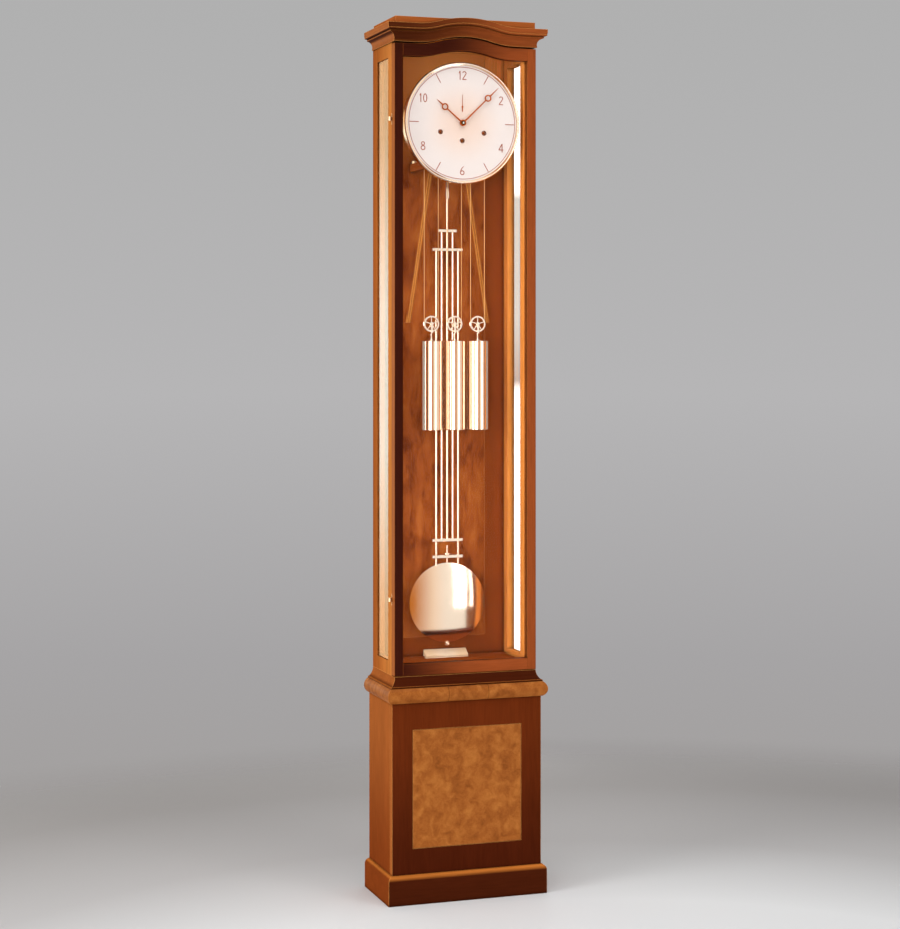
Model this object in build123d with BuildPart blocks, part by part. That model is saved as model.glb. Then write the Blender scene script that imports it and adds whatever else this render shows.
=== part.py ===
from build123d import *
from math import asin, cos, hypot, pi, radians, sin
import os

# Longcase regulator clock with a glazed trunk, three cable weights and a gridiron pendulum.
# Millimetres. +Z is up, the dial faces -Y, +X is to the viewer's right.
# The origin is on the floor, in the middle of the footprint.
# Depths are measured backwards from the trunk's front face, heights from the floor.

# ---------------------------------------------------------------- driving dimensions

# Trunk
trunk_width = 340.0
trunk_depth = 170.0
trunk_height = 1428.0
side_thickness = 20.0
side_front_stile = 27.0
side_rear_stile = 34.0
side_bottom_rail = 30.0
side_top_rail = 28.0
side_glass_thickness = 3.0
side_glass_groove = 8.0
side_glass_setback = 2.5
floor_thickness = 20.0

# Plinth and base
plinth_height = 66.0
plinth_overhang = 20.0
plinth_thickness = 24.0
plinth_round = 12.0
base_height = 386.0
base_overhang = 9.0
base_wall = 16.0
base_back_thickness = 6.0
base_stile = 49.0
base_top_rail = 61.0
base_bottom_rail = 58.0
panel_lip = 8.0
panel_rebate = 8.0

# Belt between base and trunk
band_height = 34.0
band_bulge = 22.0
band_foot = 12.0
cove_height = 25.0
cove_foot = 11.0
cove_bead = 3.5
cove_fillet = 1.0
belt_back = 30.0
rear_rail_thickness = 20.0

# Cornice
cornice_height = 40.5
cornice_overhang = 21.5
cornice_fillet = 2.5
cornice_cove_height = 20.2
cornice_cove_reach = 11.8
cornice_cove_hollow = 4.0
cornice_bead = 4.0
cornice_step = 1.2
cornice_slope_height = 4.0
arch_half_span = 120.0
arch_rise = 17.0
cap_thickness = 15.0
cap_inset = 2.0
cap_drop = 2.0

# Door
door_thickness = 22.0
door_stile = 20.0
door_bottom_rail_height = 26.0
door_top_rail_height = 28.0
door_lip = 8.0
glass_rebate = 7.0
glass_thickness = 5.0
bevel_width = 18.5
bevel_depth = 3.2
hinge_drop = 169.5
hinge_rise = 172.0
hinge_barrel_radius = 4.0
hinge_barrel_length = 4.5
hinge_pin_radius = 1.6
hinge_leaf_length = 26.0
hinge_leaf_thickness = 1.5
hinge_leaf_width = 16.0
hinge_side_gap = 0.2
catch_radius = 4.0
catch_length = 10.0
catch_plate_radius = 4.6
catch_plate_thickness = 1.5

# Back
back_thickness = 10.0
back_stile = 48.0
back_bottom_rail = 44.0
back_top_rail = 44.0
back_lip = 5.0

# Dial
dial_drop = 173.0
dial_gap = 5.0
dial_side_gap = 11.0
dial_thickness = 2.0
dial_centre_clearance = 1.0
bezel_width = 8.0
bezel_wall = 2.0
bezel_height = 4.0
bezel_skirt = 12.0
bezel_chamfer = 2.0
bezel_lip = 1.0
bezel_slope = 3.0
dial_foot_radius = 3.0
dial_foot_offset = 62.0
ring_line_gap = 3.0
ring_line_width = 1.4
marking_thickness = 0.3
numeral_gap = 19.0
numeral_height = 20.0
numeral_stroke = 2.0
numeral_pitch = 10.4
one_flag = 6.0
two_width = 10.0
four_width = 11.2
four_bar_rise = 4.8
six_bowl_radius = 5.4
six_lean = 2.7
eight_upper_radius = 4.6
eight_lower_radius = 5.6
zero_width = 9.6
hour_stroke_gap = 1.5
hour_stroke_length = 22.0
hour_stroke_width = 1.8
side_winding_drop = 21.5
centre_winding_drop = 40.3
eyelet_radius = 5.6
eyelet_bore = 4.0
eyelet_wall = 0.8
eyelet_flange = 1.0

# Hands
hour_hand_gap = 3.0
hands_gap = 1.5
hand_thickness = 1.5
hand_width = 3.4
hand_neck_width = 2.4
hand_point_width = 0.8
hour_tip_gap = 24.1
hour_tip_length = 24.8
minute_tip_gap = 7.5
minute_tip_length = 35.0
hand_ring_outer = 8.0
hand_ring_inner = 5.2
hand_boss_radius = 7.2
hour_angle = 310.0
minute_angle = 46.0
seconds_hand_gap = 1.6
seconds_tip_radius = 28.0
seconds_tail_radius = 11.0
seconds_width = 1.3
seconds_point_width = 0.6
seconds_tail_width = 2.0
seconds_thickness = 0.6
seconds_boss_radius = 2.2
seconds_arbor_radius = 1.2
hand_nut_radius = 4.5
hand_nut_thickness = 3.0
hand_nut_chamfer = 1.0
centre_arbor_radius = 2.6
hour_pipe_radius = 4.4
hour_wheel_radius = 24.0
hour_wheel_gap = 7.0
centre_wheel_radius = 24.0
centre_wheel_gap = 6.0
seconds_wheel_radius = 12.0
wheel_gap = 1.0
wheel_thickness = 2.0

# Movement
plate_thickness = 3.0
plate_width = 170.0
plate_drop = 86.0
plate_rise = 84.0
pillar_radius = 4.0
pillar_inset = 6.0
drum_pitch_radius = 20.9
drum_front_gap = 20.0
drum_back_gap = 2.0
drum_gap = 0.6
drum_flange_rise = 3.1
drum_flange_thickness = 2.0
great_wheel_margin = 2.0
great_wheel_thickness = 2.0
great_wheel_teeth = 48
wheel_tooth_depth = 2.0
drum_arbor_radius = 3.0
winding_square = 4.4
escape_rise = 34.0
escape_radius = 20.0
escape_teeth = 30
escape_thickness = 1.5
escape_tooth_depth = 3.4
escape_tip_angle = 1.3
escape_offset = 3.0
pallet_clearance = 1.5
anchor_hub_radius = 4.0
anchor_arm_width = 4.0
crutch_radius = 1.5
crutch_length = 50.0
crutch_gap = 6.5
crutch_hub_thickness = 4.0
arbor_radius = 1.5
cheek_thickness = 4.0
cheek_gap = 6.0
cock_reach = 32.0
pivot_end_gap = 0.75
cock_arm_offset = 18.5
cock_arm_width = 5.0
cock_height = 14.0

# Seat board
seat_board_thickness = 18.0
seat_board_width = 168.0
seat_arm_width = 16.0
seat_front_gap = 1.0
seat_front_margin = 5.0
seat_rear_margin = 1.0
seat_slot_margin = 6.0
seat_slot_width = 8.0
seat_screw_radius = 5.0
seat_screw_height = 7.0

# Pendulum
pendulum_back_gap = 14.5
pendulum_tip_gap = 8.0
pivot_drop = 52.0
suspension_eye_radius = 4.0
leader_width = 6.0
leader_thickness = 2.0
hook_drop = 96.0
hook_length = 18.0
hook_bore = 10.8
hook_chamfer = 0.6
hook_width = 7.0
hook_thickness = 5.0
centre_rod_radius = 2.5
rod_radius = 2.5
rod_spacing = 13.5
upper_bar_drop = 75.0
upper_bar_pitch = 44.0
foot_bar_pitch = 38.5
thread_bar_rise = 14.5
crosspiece_widths = (45.0, 74.0, 74.0, 74.0)
crosspiece_height = 7.0
crosspiece_thickness = 8.0
crosspiece_chamfer = 0.6
outer_rod_entry = 22.5
threaded_rod_radius = 2.0
threaded_rod_stand = 26.0
threaded_rod_tip_radius = 0.25
threaded_rod_point = 4.0
locknut_hub = 2.0
locknut_radius = 8.0
locknut_thickness = 2.5
bob_radius = 92.5
bob_crown = 9.0
bob_rim = 3.0
rating_nut_radius = 7.0
rating_nut_height = 6.0
rating_nut_gap = 0.5
rating_nut_chamfer = 0.75

# Gong
gong_rod_drop = 402.0
rod_bottom_offset = 97.0
rod_top_offset = 36.0
gong_rod_radius = 2.2
gong_rod_spread = 5.5
gong_gap = 9.0
gong_block_width = 36.0
gong_block_height = 26.0
gong_block_offset = 42.0
gong_block_drop = 66.0
gong_rod_socket = 12.0
gong_block_cover = 8.0
hammer_arbor_rise = 10.0
hammer_head_radius = 5.0
hammer_head_length = 8.0
hammer_lever_radius = 1.2
hammer_drop = 24.0
hammer_gap = 2.0
hammer_lug_offset = 27.5
hammer_lug_width = 3.0
hammer_lug_height = 12.0
hammer_lug_reach = 4.0

# Weights and cables
weight_radius = 25.0
weight_height = 206.0
weight_drop = 394.0
weight_gap = 6.5
weight_chamfer = 1.0
cap_cone_height = 9.0
cap_cone_foot = 6.0
cap_cone_tip = 1.6
cap_bead_radius = 2.4
stirrup_stem = 8.4
pulley_pitch_radius = 17.0
pulley_flange_rise = 1.5
pulley_thickness = 6.0
pulley_rim = 3.4
pulley_hub_radius = 4.5
pulley_spokes = 5
pulley_spoke_width = 2.2
pulley_axle_radius = 2.0
groove_width = 4.0
stirrup_width = 5.0
stirrup_plate = 1.5
stirrup_gap = 0.6
cable_radius = 0.8
ferrule_radius = 2.6
ferrule_length = 5.0

# Beat scale
scale_width = 104.0
scale_slope = 20.0
scale_rise = 15.0
scale_front_edge = 2.0
scale_gap = 6.0

# Clearances
glue_line = 0.05
panel_clearance = 0.4
glass_clearance = 0.5
running_clearance = 0.05
door_gap = 1.5
door_back_gap = 1.0
arch_gap = 3.5
cable_clearance = 0.05

# ---------------------------------------------------------------- derived places

half_width = trunk_width / 2
widest_overhang = max(band_bulge, cornice_overhang, plinth_overhang, base_overhang)
front_y = (widest_overhang - trunk_depth) / 2
back_y = front_y + trunk_depth
reach = half_width + widest_overhang

base_bottom = plinth_height
base_top = base_bottom + base_height
band_top = base_top + band_height
trunk_bottom = band_top + cove_height
floor_top = trunk_bottom + floor_thickness
trunk_top = trunk_bottom + trunk_height
cornice_bottom = trunk_top + arch_gap
cornice_top = cornice_bottom + cornice_height
cap_bottom = cornice_top + cap_drop

side_front = door_thickness + door_back_gap
side_inner = half_width - side_thickness
side_glass_middle = half_width - side_glass_setback - side_glass_thickness / 2
window_bottom = trunk_bottom + side_bottom_rail
window_top = trunk_top - side_top_rail
back_front = trunk_depth - back_thickness

opening_half = half_width - door_stile
door_bottom = trunk_bottom + door_gap
sight_bottom = door_bottom + door_bottom_rail_height
sight_top = trunk_top - door_top_rail_height
glass_back = door_lip + glass_thickness
rebate_half = opening_half + glass_rebate
rebate_bottom = sight_bottom - glass_rebate
rebate_top = sight_top + glass_rebate

hinge_x = -half_width - hinge_barrel_radius - hinge_side_gap
hinge_depth = door_thickness + door_back_gap / 2
hinge_heights = (trunk_top - hinge_drop, trunk_bottom + hinge_rise)
catch_x = (rebate_half + half_width) / 2
catch_height = (trunk_bottom + trunk_top) / 2

dial_height = trunk_top - dial_drop
dial_depth = door_thickness + dial_gap
dial_back = dial_depth + dial_thickness
bezel_outer_radius = side_inner - dial_side_gap
bezel_inner_radius = bezel_outer_radius - bezel_width
dial_radius = bezel_outer_radius - bezel_wall
ring_line_radius = bezel_inner_radius - ring_line_gap
numeral_radius = ring_line_radius - numeral_gap
hour_stroke_outer = ring_line_radius - hour_stroke_gap
hour_stroke_inner = hour_stroke_outer - hour_stroke_length

hour_hand_depth = dial_depth - hour_hand_gap - hand_thickness
minute_hand_depth = hour_hand_depth - hands_gap - hand_thickness
seconds_hand_depth = dial_depth - seconds_hand_gap - seconds_thickness
minute_tip_radius = hour_stroke_outer - minute_tip_gap
minute_ring_radius = minute_tip_radius - minute_tip_length
hour_tip_radius = hour_stroke_inner - hour_tip_gap
hour_ring_radius = hour_tip_radius - hour_tip_length
seconds_height = dial_height + centre_wheel_radius + seconds_wheel_radius + wheel_gap

pendulum_depth = back_front - pendulum_back_gap - bob_crown - bob_rim / 2
seat_front = dial_depth + bezel_skirt + seat_front_gap
front_plate_depth = seat_front + seat_front_margin
movement_back = pendulum_depth - cock_reach
back_plate_depth = movement_back - plate_thickness
plate_spacing = back_plate_depth - front_plate_depth - plate_thickness
plate_bottom = dial_height - plate_drop
plate_top = dial_height + plate_rise
hour_wheel_depth = dial_back + hour_wheel_gap
centre_wheel_depth = front_plate_depth + plate_thickness + centre_wheel_gap

drum_front = front_plate_depth + plate_thickness + drum_front_gap
drum_length = back_plate_depth - drum_back_gap - great_wheel_thickness - drum_front
drum_core_radius = drum_pitch_radius - cable_radius - cable_clearance
drum_flange_radius = drum_pitch_radius + drum_flange_rise
great_wheel_radius = drum_flange_radius + great_wheel_margin
side_winding_offset = 2 * great_wheel_radius + drum_gap
side_winding_height = dial_height - side_winding_drop
centre_winding_height = dial_height - centre_winding_drop

pendulum_pivot_height = dial_height - pivot_drop
escape_height = pendulum_pivot_height + escape_rise
escape_depth = movement_back + escape_offset
seat_top = plate_bottom
seat_bottom = seat_top - seat_board_thickness

hook_top = pendulum_pivot_height - hook_drop
hook_bottom = hook_top - hook_length
pendulum_tip = floor_top + scale_rise + pendulum_tip_gap
rating_nut_bottom = pendulum_tip + threaded_rod_point
rating_nut_top = rating_nut_bottom + rating_nut_height
bob_height = rating_nut_top + rating_nut_gap + bob_radius
upper_bar = hook_bottom - upper_bar_drop
lower_bar = upper_bar - upper_bar_pitch
thread_bar = bob_height + bob_radius + thread_bar_rise
foot_bar = thread_bar + foot_bar_pitch

gong_depth = pendulum_depth - gong_gap
gong_block_front = gong_depth - gong_block_cover
gong_block_bottom = dial_height - gong_block_drop
rod_top_height = gong_block_bottom + gong_rod_socket
rod_bottom_height = rod_top_height - gong_rod_drop
hammer_face = gong_depth - gong_rod_radius - hammer_gap
hammer_arbor_depth = hammer_face - hammer_head_length / 2
hammer_arbor_height = plate_bottom + hammer_arbor_rise

weight_depth = drum_front + drum_length / 2
side_weight_offset = 2 * weight_radius + weight_gap
weight_top = seat_bottom - weight_drop
cone_top = weight_top + cap_cone_height
yoke_bottom = cone_top + stirrup_stem
yoke_top = yoke_bottom + stirrup_width / 2
pulley_flange_radius = pulley_pitch_radius + pulley_flange_rise
pulley_height = yoke_top + stirrup_gap + pulley_flange_radius


def depth(behind):
    """Y of a place that lies this far behind the trunk's front face."""
    return front_y + behind


def facing(behind):
    """Plane parallel to the front, drawn as (x, height). Extrusions come towards the viewer."""
    return Plane.XZ.offset(-depth(behind))


def across(x):
    """Plane across the clock at x, drawn as (y, height). Extrusions go to the viewer's right."""
    return Plane.YZ.offset(x)


def save(piece, name):
    """Label a finished piece and write its STEP file."""
    piece.part.label = name
    export_step(piece.part, f"parts/{name}.step")


def bowed(at, start, end, sag):
    """Arc between two section points that swells by sag to the right of its direction of travel."""
    run = end[0] - start[0]
    rise = end[1] - start[1]
    length = hypot(run, rise)
    middle = ((start[0] + end[0]) / 2 + sag * rise / length, (start[1] + end[1]) / 2 - sag * run / length)
    ThreePointArc(at(*start), at(*middle), at(*end))


def arch_line(half_span, base):
    """The double-curved arch: level ends, two hollow flanks and a round crest, drawn left to right."""
    run = arch_half_span / 2
    rise = arch_rise / 2
    radius = (run**2 + rise**2) / (2 * rise)
    half_turn = asin(run / radius) / 2
    sag_run = radius * sin(half_turn)
    sag_rise = radius * (1 - cos(half_turn))
    flank = (-run, base + rise)
    shoulder = (run, base + rise)
    Line((-half_span, base), (-arch_half_span, base))
    ThreePointArc((-arch_half_span, base), (sag_run - arch_half_span, base + sag_rise), flank)
    ThreePointArc(flank, (0, base + arch_rise), shoulder)
    ThreePointArc(shoulder, (arch_half_span - sag_run, base + sag_rise), (arch_half_span, base))
    Line((arch_half_span, base), (half_span, base))


def arched_outline(half_span, bottom, base):
    """Closed outline with straight sides, a level bottom and the arch on top."""
    arch_line(half_span, base)
    Line((half_span, base), (half_span, bottom))
    Line((half_span, bottom), (-half_span, bottom))
    Line((-half_span, bottom), (-half_span, base))


def front_at(overhang, height):
    """Section point of a front length, on a plane across the clock."""
    return (front_y - overhang, height)


def side_at(overhang, height):
    """Section point of the right side length, on a plane parallel to the front."""
    return (half_width + overhang, height)


def moulding_lengths(section, arched=False, base=0.0):
    """A front length and two side lengths of one moulding, mitred at the two front corners."""
    with BuildPart() as front_length:
        with BuildSketch(across(-reach)):
            with BuildLine():
                section(front_at)
            make_face()
        if arched:
            with BuildLine(Plane.XZ.offset(-front_y)) as route:
                arch_line(reach, base)
            sweep(path=route.wires()[0])
        else:
            extrude(amount=2 * reach)
        for side in (-1, 1):
            corner = Plane(origin=(side * half_width, front_y, 0), z_dir=(side, 1, 0))
            split(bisect_by=corner, keep=Keep.BOTTOM)
    with BuildPart() as side_length:
        with BuildSketch(facing(trunk_depth)):
            with BuildLine():
                section(side_at)
            make_face()
        extrude(amount=trunk_depth + widest_overhang)
        corner = Plane(origin=(half_width, front_y + glue_line, 0), z_dir=(1, 1, 0))
        split(bisect_by=corner, keep=Keep.TOP)
    with BuildPart() as lengths:
        add(front_length.part)
        add(side_length.part)
        add(side_length.part.mirror(Plane.YZ))
    return lengths


os.makedirs("parts", exist_ok=True)

# ---------------------------------------------------------------- plinth and base


def plinth_section(at):
    """Square board with a rounded top front edge."""
    inner = plinth_overhang - plinth_thickness
    shoulder = plinth_height - plinth_round
    Line(at(inner, 0), at(plinth_overhang, 0))
    Line(at(plinth_overhang, 0), at(plinth_overhang, shoulder))
    turn = plinth_round * (1 - cos(radians(45)))
    ThreePointArc(
        at(plinth_overhang, shoulder),
        at(plinth_overhang - turn, plinth_height - turn),
        at(plinth_overhang - plinth_round, plinth_height),
    )
    Line(at(plinth_overhang - plinth_round, plinth_height), at(inner, plinth_height))
    Line(at(inner, plinth_height), at(inner, 0))


plinth_moulding = moulding_lengths(plinth_section)
save(plinth_moulding, "plinth_moulding")

base_half = half_width + base_overhang
panel_half = base_half - base_stile
panel_bottom = base_bottom + base_bottom_rail
panel_top = base_top - base_top_rail
panel_middle = (panel_bottom + panel_top) / 2
panel_height = panel_top - panel_bottom
base_panel_back = base_wall - base_overhang

with BuildPart() as base_front_frame:
    with BuildSketch(facing(base_panel_back)):
        with Locations((0, (base_bottom + base_top) / 2)):
            Rectangle(2 * base_half, base_height)
        with Locations((0, panel_middle)):
            Rectangle(2 * panel_half, panel_height, mode=Mode.SUBTRACT)
    extrude(amount=base_wall)
    with BuildSketch(facing(base_panel_back)):
        with Locations((0, panel_middle)):
            Rectangle(2 * (panel_half + panel_rebate), panel_height + 2 * panel_rebate)
    extrude(amount=base_wall - panel_lip, mode=Mode.SUBTRACT)
save(base_front_frame, "base_front_frame")

with BuildPart() as base_front_panel:
    with BuildSketch(facing(base_panel_back)):
        with Locations((0, panel_middle)):
            Rectangle(
                2 * (panel_half + panel_rebate - panel_clearance),
                panel_height + 2 * (panel_rebate - panel_clearance),
            )
    extrude(amount=base_wall - panel_lip)
    with BuildSketch(facing(base_panel_back)):
        with Locations((0, panel_middle)):
            Rectangle(2 * (panel_half - panel_clearance), panel_height - 2 * panel_clearance)
    extrude(amount=base_wall)
    chamfer(faces().sort_by(Axis.Y)[0].edges(), length=panel_clearance)
save(base_front_panel, "base_front_panel")

with BuildPart() as base_sides:
    with BuildSketch(Plane.XY.offset(base_bottom)):
        for side in (-1, 1):
            with Locations((side * (base_half - base_wall / 2), (depth(base_panel_back) + back_y) / 2)):
                Rectangle(base_wall, trunk_depth - base_panel_back)
    extrude(amount=base_height)
save(base_sides, "base_sides")

with BuildPart() as base_back:
    with BuildSketch(facing(trunk_depth)):
        with Locations((0, (base_bottom + base_top) / 2)):
            Rectangle(2 * (base_half - base_wall), base_height)
    extrude(amount=base_back_thickness)
save(base_back, "base_back")

# ---------------------------------------------------------------- belt


def band_section(at):
    """Bulged band, proud of the base, on a solid core."""
    middle = (base_top + band_top) / 2
    Line(at(-belt_back, base_top), at(band_foot, base_top))
    ThreePointArc(at(band_foot, base_top), at(band_bulge, middle), at(band_foot, band_top))
    Line(at(band_foot, band_top), at(-belt_back, band_top))
    Line(at(-belt_back, band_top), at(-belt_back, base_top))


belt_band = moulding_lengths(band_section)
save(belt_band, "belt_band")


def cove_section(at):
    """Hollow that runs from the trunk out to a small bead over the band."""
    bead_top = band_top + cove_bead
    Line(at(-belt_back, band_top), at(cove_foot, band_top))
    bowed(at, (cove_foot, band_top), (cove_foot, bead_top), cove_bead / 2)
    Line(at(cove_foot, bead_top), at(cove_foot - cove_fillet, bead_top))
    bowed(at, (cove_foot - cove_fillet, bead_top), (0, trunk_bottom), -cove_foot / 4)
    Line(at(0, trunk_bottom), at(-belt_back, trunk_bottom))
    Line(at(-belt_back, trunk_bottom), at(-belt_back, band_top))


belt_cove = moulding_lengths(cove_section)
save(belt_cove, "belt_cove")

# ---------------------------------------------------------------- trunk


def trunk_side(side):
    """One side of the trunk: stiles and rails round a tall window, with a groove for the pane."""
    inner_face = side_inner if side > 0 else -half_width
    window_front = side_front + side_front_stile
    window_back = trunk_depth - side_rear_stile
    window_middle = (depth(window_front) + depth(window_back)) / 2
    window_width = window_back - window_front
    window_height = window_top - window_bottom
    with BuildPart() as frame:
        with BuildSketch(across(inner_face)):
            with Locations(((depth(side_front) + back_y) / 2, (trunk_bottom + cap_bottom) / 2)):
                Rectangle(trunk_depth - side_front, cap_bottom - trunk_bottom)
            with Locations((window_middle, (window_bottom + window_top) / 2)):
                Rectangle(window_width, window_height, mode=Mode.SUBTRACT)
        extrude(amount=side_thickness)
        with BuildSketch(across(side * side_glass_middle - side_glass_thickness / 2)):
            with Locations((window_middle, (window_bottom + window_top) / 2)):
                Rectangle(window_width + 2 * side_glass_groove, window_height + 2 * side_glass_groove)
        extrude(amount=side_glass_thickness, mode=Mode.SUBTRACT)
        if side < 0:
            for height in hinge_heights:
                with Locations((-half_width, depth(hinge_depth), height)):
                    Box(
                        2 * (hinge_leaf_width - hinge_barrel_radius),
                        2 * (hinge_leaf_thickness + running_clearance + glue_line),
                        hinge_leaf_length + 2 * running_clearance,
                        mode=Mode.SUBTRACT,
                    )
        else:
            with BuildSketch(facing(side_front + catch_length)):
                with Locations((catch_x, catch_height)):
                    Circle(catch_radius + running_clearance)
            extrude(amount=catch_length, mode=Mode.SUBTRACT)
    return frame


trunk_side_left = trunk_side(-1)
save(trunk_side_left, "trunk_side_left")
trunk_side_right = trunk_side(1)
save(trunk_side_right, "trunk_side_right")

with BuildPart() as side_glasses:
    pane_front = side_front + side_front_stile - side_glass_groove + glass_clearance
    pane_back = trunk_depth - side_rear_stile + side_glass_groove - glass_clearance
    for side in (-1, 1):
        pane_middle = side * side_glass_middle
        with BuildSketch(across(pane_middle - side_glass_thickness / 2 + glue_line)):
            with Locations(((depth(pane_front) + depth(pane_back)) / 2, (window_bottom + window_top) / 2)):
                Rectangle(
                    pane_back - pane_front,
                    window_top - window_bottom + 2 * (side_glass_groove - glass_clearance),
                )
        extrude(amount=side_glass_thickness - 2 * glue_line)
save(side_glasses, "side_glasses")

field_half = side_inner - back_stile
field_bottom = floor_top + back_bottom_rail
field_top = cap_bottom - back_top_rail
field_middle = (field_bottom + field_top) / 2
field_height = field_top - field_bottom

with BuildPart() as back_frame:
    with BuildSketch(facing(trunk_depth)):
        with Locations((0, (floor_top + cap_bottom) / 2)):
            Rectangle(2 * side_inner, cap_bottom - floor_top)
        with Locations((0, field_middle)):
            Rectangle(2 * field_half, field_height, mode=Mode.SUBTRACT)
    extrude(amount=back_thickness)
    with BuildSketch(facing(trunk_depth)):
        with Locations((0, field_middle)):
            Rectangle(2 * (field_half + panel_rebate), field_height + 2 * panel_rebate)
    extrude(amount=back_thickness - back_lip, mode=Mode.SUBTRACT)
save(back_frame, "back_frame")

with BuildPart() as back_burl_panel:
    with BuildSketch(facing(trunk_depth)):
        with Locations((0, field_middle)):
            Rectangle(
                2 * (field_half + panel_rebate - panel_clearance),
                field_height + 2 * (panel_rebate - panel_clearance),
            )
    extrude(amount=back_thickness - back_lip)
    with BuildSketch(facing(trunk_depth)):
        with Locations((0, field_middle)):
            Rectangle(2 * (field_half - panel_clearance), field_height - 2 * panel_clearance)
    extrude(amount=back_thickness)
save(back_burl_panel, "back_burl_panel")

with BuildPart() as trunk_floor:
    with BuildSketch(Plane.XY.offset(trunk_bottom)):
        with Locations((0, (depth(side_front) + back_y) / 2)):
            Rectangle(2 * side_inner, trunk_depth - side_front)
    extrude(amount=floor_thickness)
    with BuildSketch(facing(trunk_depth)):
        with Locations((0, (base_top + trunk_bottom) / 2)):
            Rectangle(2 * (half_width - belt_back), trunk_bottom - base_top)
    extrude(amount=rear_rail_thickness)
save(trunk_floor, "trunk_floor")

with BuildPart() as beat_scale:
    scale_back = back_front - scale_gap
    with BuildSketch(across(-scale_width / 2)):
        with BuildLine():
            Polyline(
                (depth(scale_back), floor_top),
                (depth(scale_back), floor_top + scale_rise),
                (depth(scale_back - scale_slope), floor_top + scale_front_edge),
                (depth(scale_back - scale_slope), floor_top),
                close=True,
            )
        make_face()
    extrude(amount=scale_width)
save(beat_scale, "beat_scale")

# ---------------------------------------------------------------- cornice

with BuildPart() as frieze_board:
    with BuildSketch(facing(side_front)):
        with BuildLine():
            arch_line(half_width, cornice_bottom)
            Polyline(
                (half_width, cornice_bottom),
                (half_width, cap_bottom),
                (-half_width, cap_bottom),
                (-half_width, cornice_bottom),
            )
        make_face()
    extrude(amount=side_front)
save(frieze_board, "frieze_board")


def cornice_section(at):
    """Fillet, cove, two beads and a flat fascia, from the bottom up."""
    fillet_top = cornice_bottom + cornice_fillet
    cove_top = cornice_bottom + cornice_cove_height
    lower_bead_top = cove_top + cornice_bead
    upper_bead_top = lower_bead_top + cornice_bead
    lower_bead_reach = cornice_cove_reach + cornice_step
    upper_bead_reach = cornice_overhang - cornice_step / 2
    upper_bead_foot = lower_bead_top + cornice_step
    quirk_reach = cornice_overhang - cornice_step
    quirk_height = upper_bead_top + cornice_step / 2
    fascia_bottom = upper_bead_top + cornice_slope_height
    Line(at(0, cornice_bottom), at(cornice_fillet, cornice_bottom))
    Line(at(cornice_fillet, cornice_bottom), at(cornice_fillet, fillet_top))
    bowed(at, (cornice_fillet, fillet_top), (cornice_cove_reach, cove_top), -cornice_cove_hollow)
    Line(at(cornice_cove_reach, cove_top), at(lower_bead_reach, cove_top))
    bowed(at, (lower_bead_reach, cove_top), (lower_bead_reach, lower_bead_top), cornice_bead / 2)
    Line(at(lower_bead_reach, lower_bead_top), at(cornice_overhang - cornice_bead, upper_bead_foot))
    bowed(
        at,
        (cornice_overhang - cornice_bead, upper_bead_foot),
        (upper_bead_reach, upper_bead_top),
        cornice_step,
    )
    Line(at(upper_bead_reach, upper_bead_top), at(quirk_reach, quirk_height))
    Line(at(quirk_reach, quirk_height), at(cornice_overhang, fascia_bottom))
    Line(at(cornice_overhang, fascia_bottom), at(cornice_overhang, cornice_top))
    Line(at(cornice_overhang, cornice_top), at(0, cornice_top))
    Line(at(0, cornice_top), at(0, cornice_bottom))


cornice_moulding = moulding_lengths(cornice_section, arched=True, base=cornice_bottom)
save(cornice_moulding, "cornice_moulding")

with BuildPart() as top_board:
    with BuildSketch(Plane.XY.offset(cap_bottom)):
        with Locations((0, (front_y + back_y) / 2)):
            Rectangle(2 * (half_width - cap_inset), trunk_depth)
    extrude(amount=cap_thickness)
save(top_board, "top_board")

# ---------------------------------------------------------------- door


def glass_rebate_cut():
    """Cut the rebate for the glass and its beads out of a door part, from the back."""
    with BuildSketch(facing(door_thickness)) as rebate:
        with BuildLine():
            arched_outline(rebate_half, rebate_bottom, rebate_top)
        make_face()
    extrude(rebate.sketch, amount=door_thickness - door_lip, mode=Mode.SUBTRACT)


def door_stile_part(side):
    """One upright of the door frame."""
    with BuildPart() as stile:
        with BuildSketch(facing(door_thickness)):
            with Locations((side * (half_width - door_stile / 2), (door_bottom + trunk_top) / 2)):
                Rectangle(door_stile, trunk_top - door_bottom)
        extrude(amount=door_thickness)
        glass_rebate_cut()
        if side < 0:
            for height in hinge_heights:
                with Locations((-half_width, depth(hinge_depth), height)):
                    Box(
                        2 * (door_stile - glass_rebate - glue_line),
                        2 * (hinge_leaf_thickness + running_clearance + glue_line),
                        hinge_leaf_length + 2 * running_clearance,
                        mode=Mode.SUBTRACT,
                    )
        else:
            with BuildSketch(facing(door_thickness)):
                with Locations((catch_x, catch_height)):
                    Circle(catch_plate_radius + running_clearance)
            extrude(amount=catch_plate_thickness, mode=Mode.SUBTRACT)
    return stile


door_stile_left = door_stile_part(-1)
save(door_stile_left, "door_stile_left")
door_stile_right = door_stile_part(1)
save(door_stile_right, "door_stile_right")

with BuildPart() as door_bottom_rail:
    with BuildSketch(facing(door_thickness)):
        with Locations((0, (door_bottom + sight_bottom) / 2)):
            Rectangle(2 * opening_half, door_bottom_rail_height)
    extrude(amount=door_thickness)
    glass_rebate_cut()
save(door_bottom_rail, "door_bottom_rail")

with BuildPart() as door_top_rail:
    with BuildSketch(facing(door_thickness)):
        with BuildLine():
            arch_line(opening_half, trunk_top)
            Line((opening_half, trunk_top), (opening_half, sight_top))
            arch_line(opening_half, sight_top)
            Line((-opening_half, sight_top), (-opening_half, trunk_top))
        make_face()
    extrude(amount=door_thickness)
    glass_rebate_cut()
save(door_top_rail, "door_top_rail")

pane_half = rebate_half - glass_clearance
pane_bottom = rebate_bottom + glass_clearance
pane_top = rebate_top - glass_clearance

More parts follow.
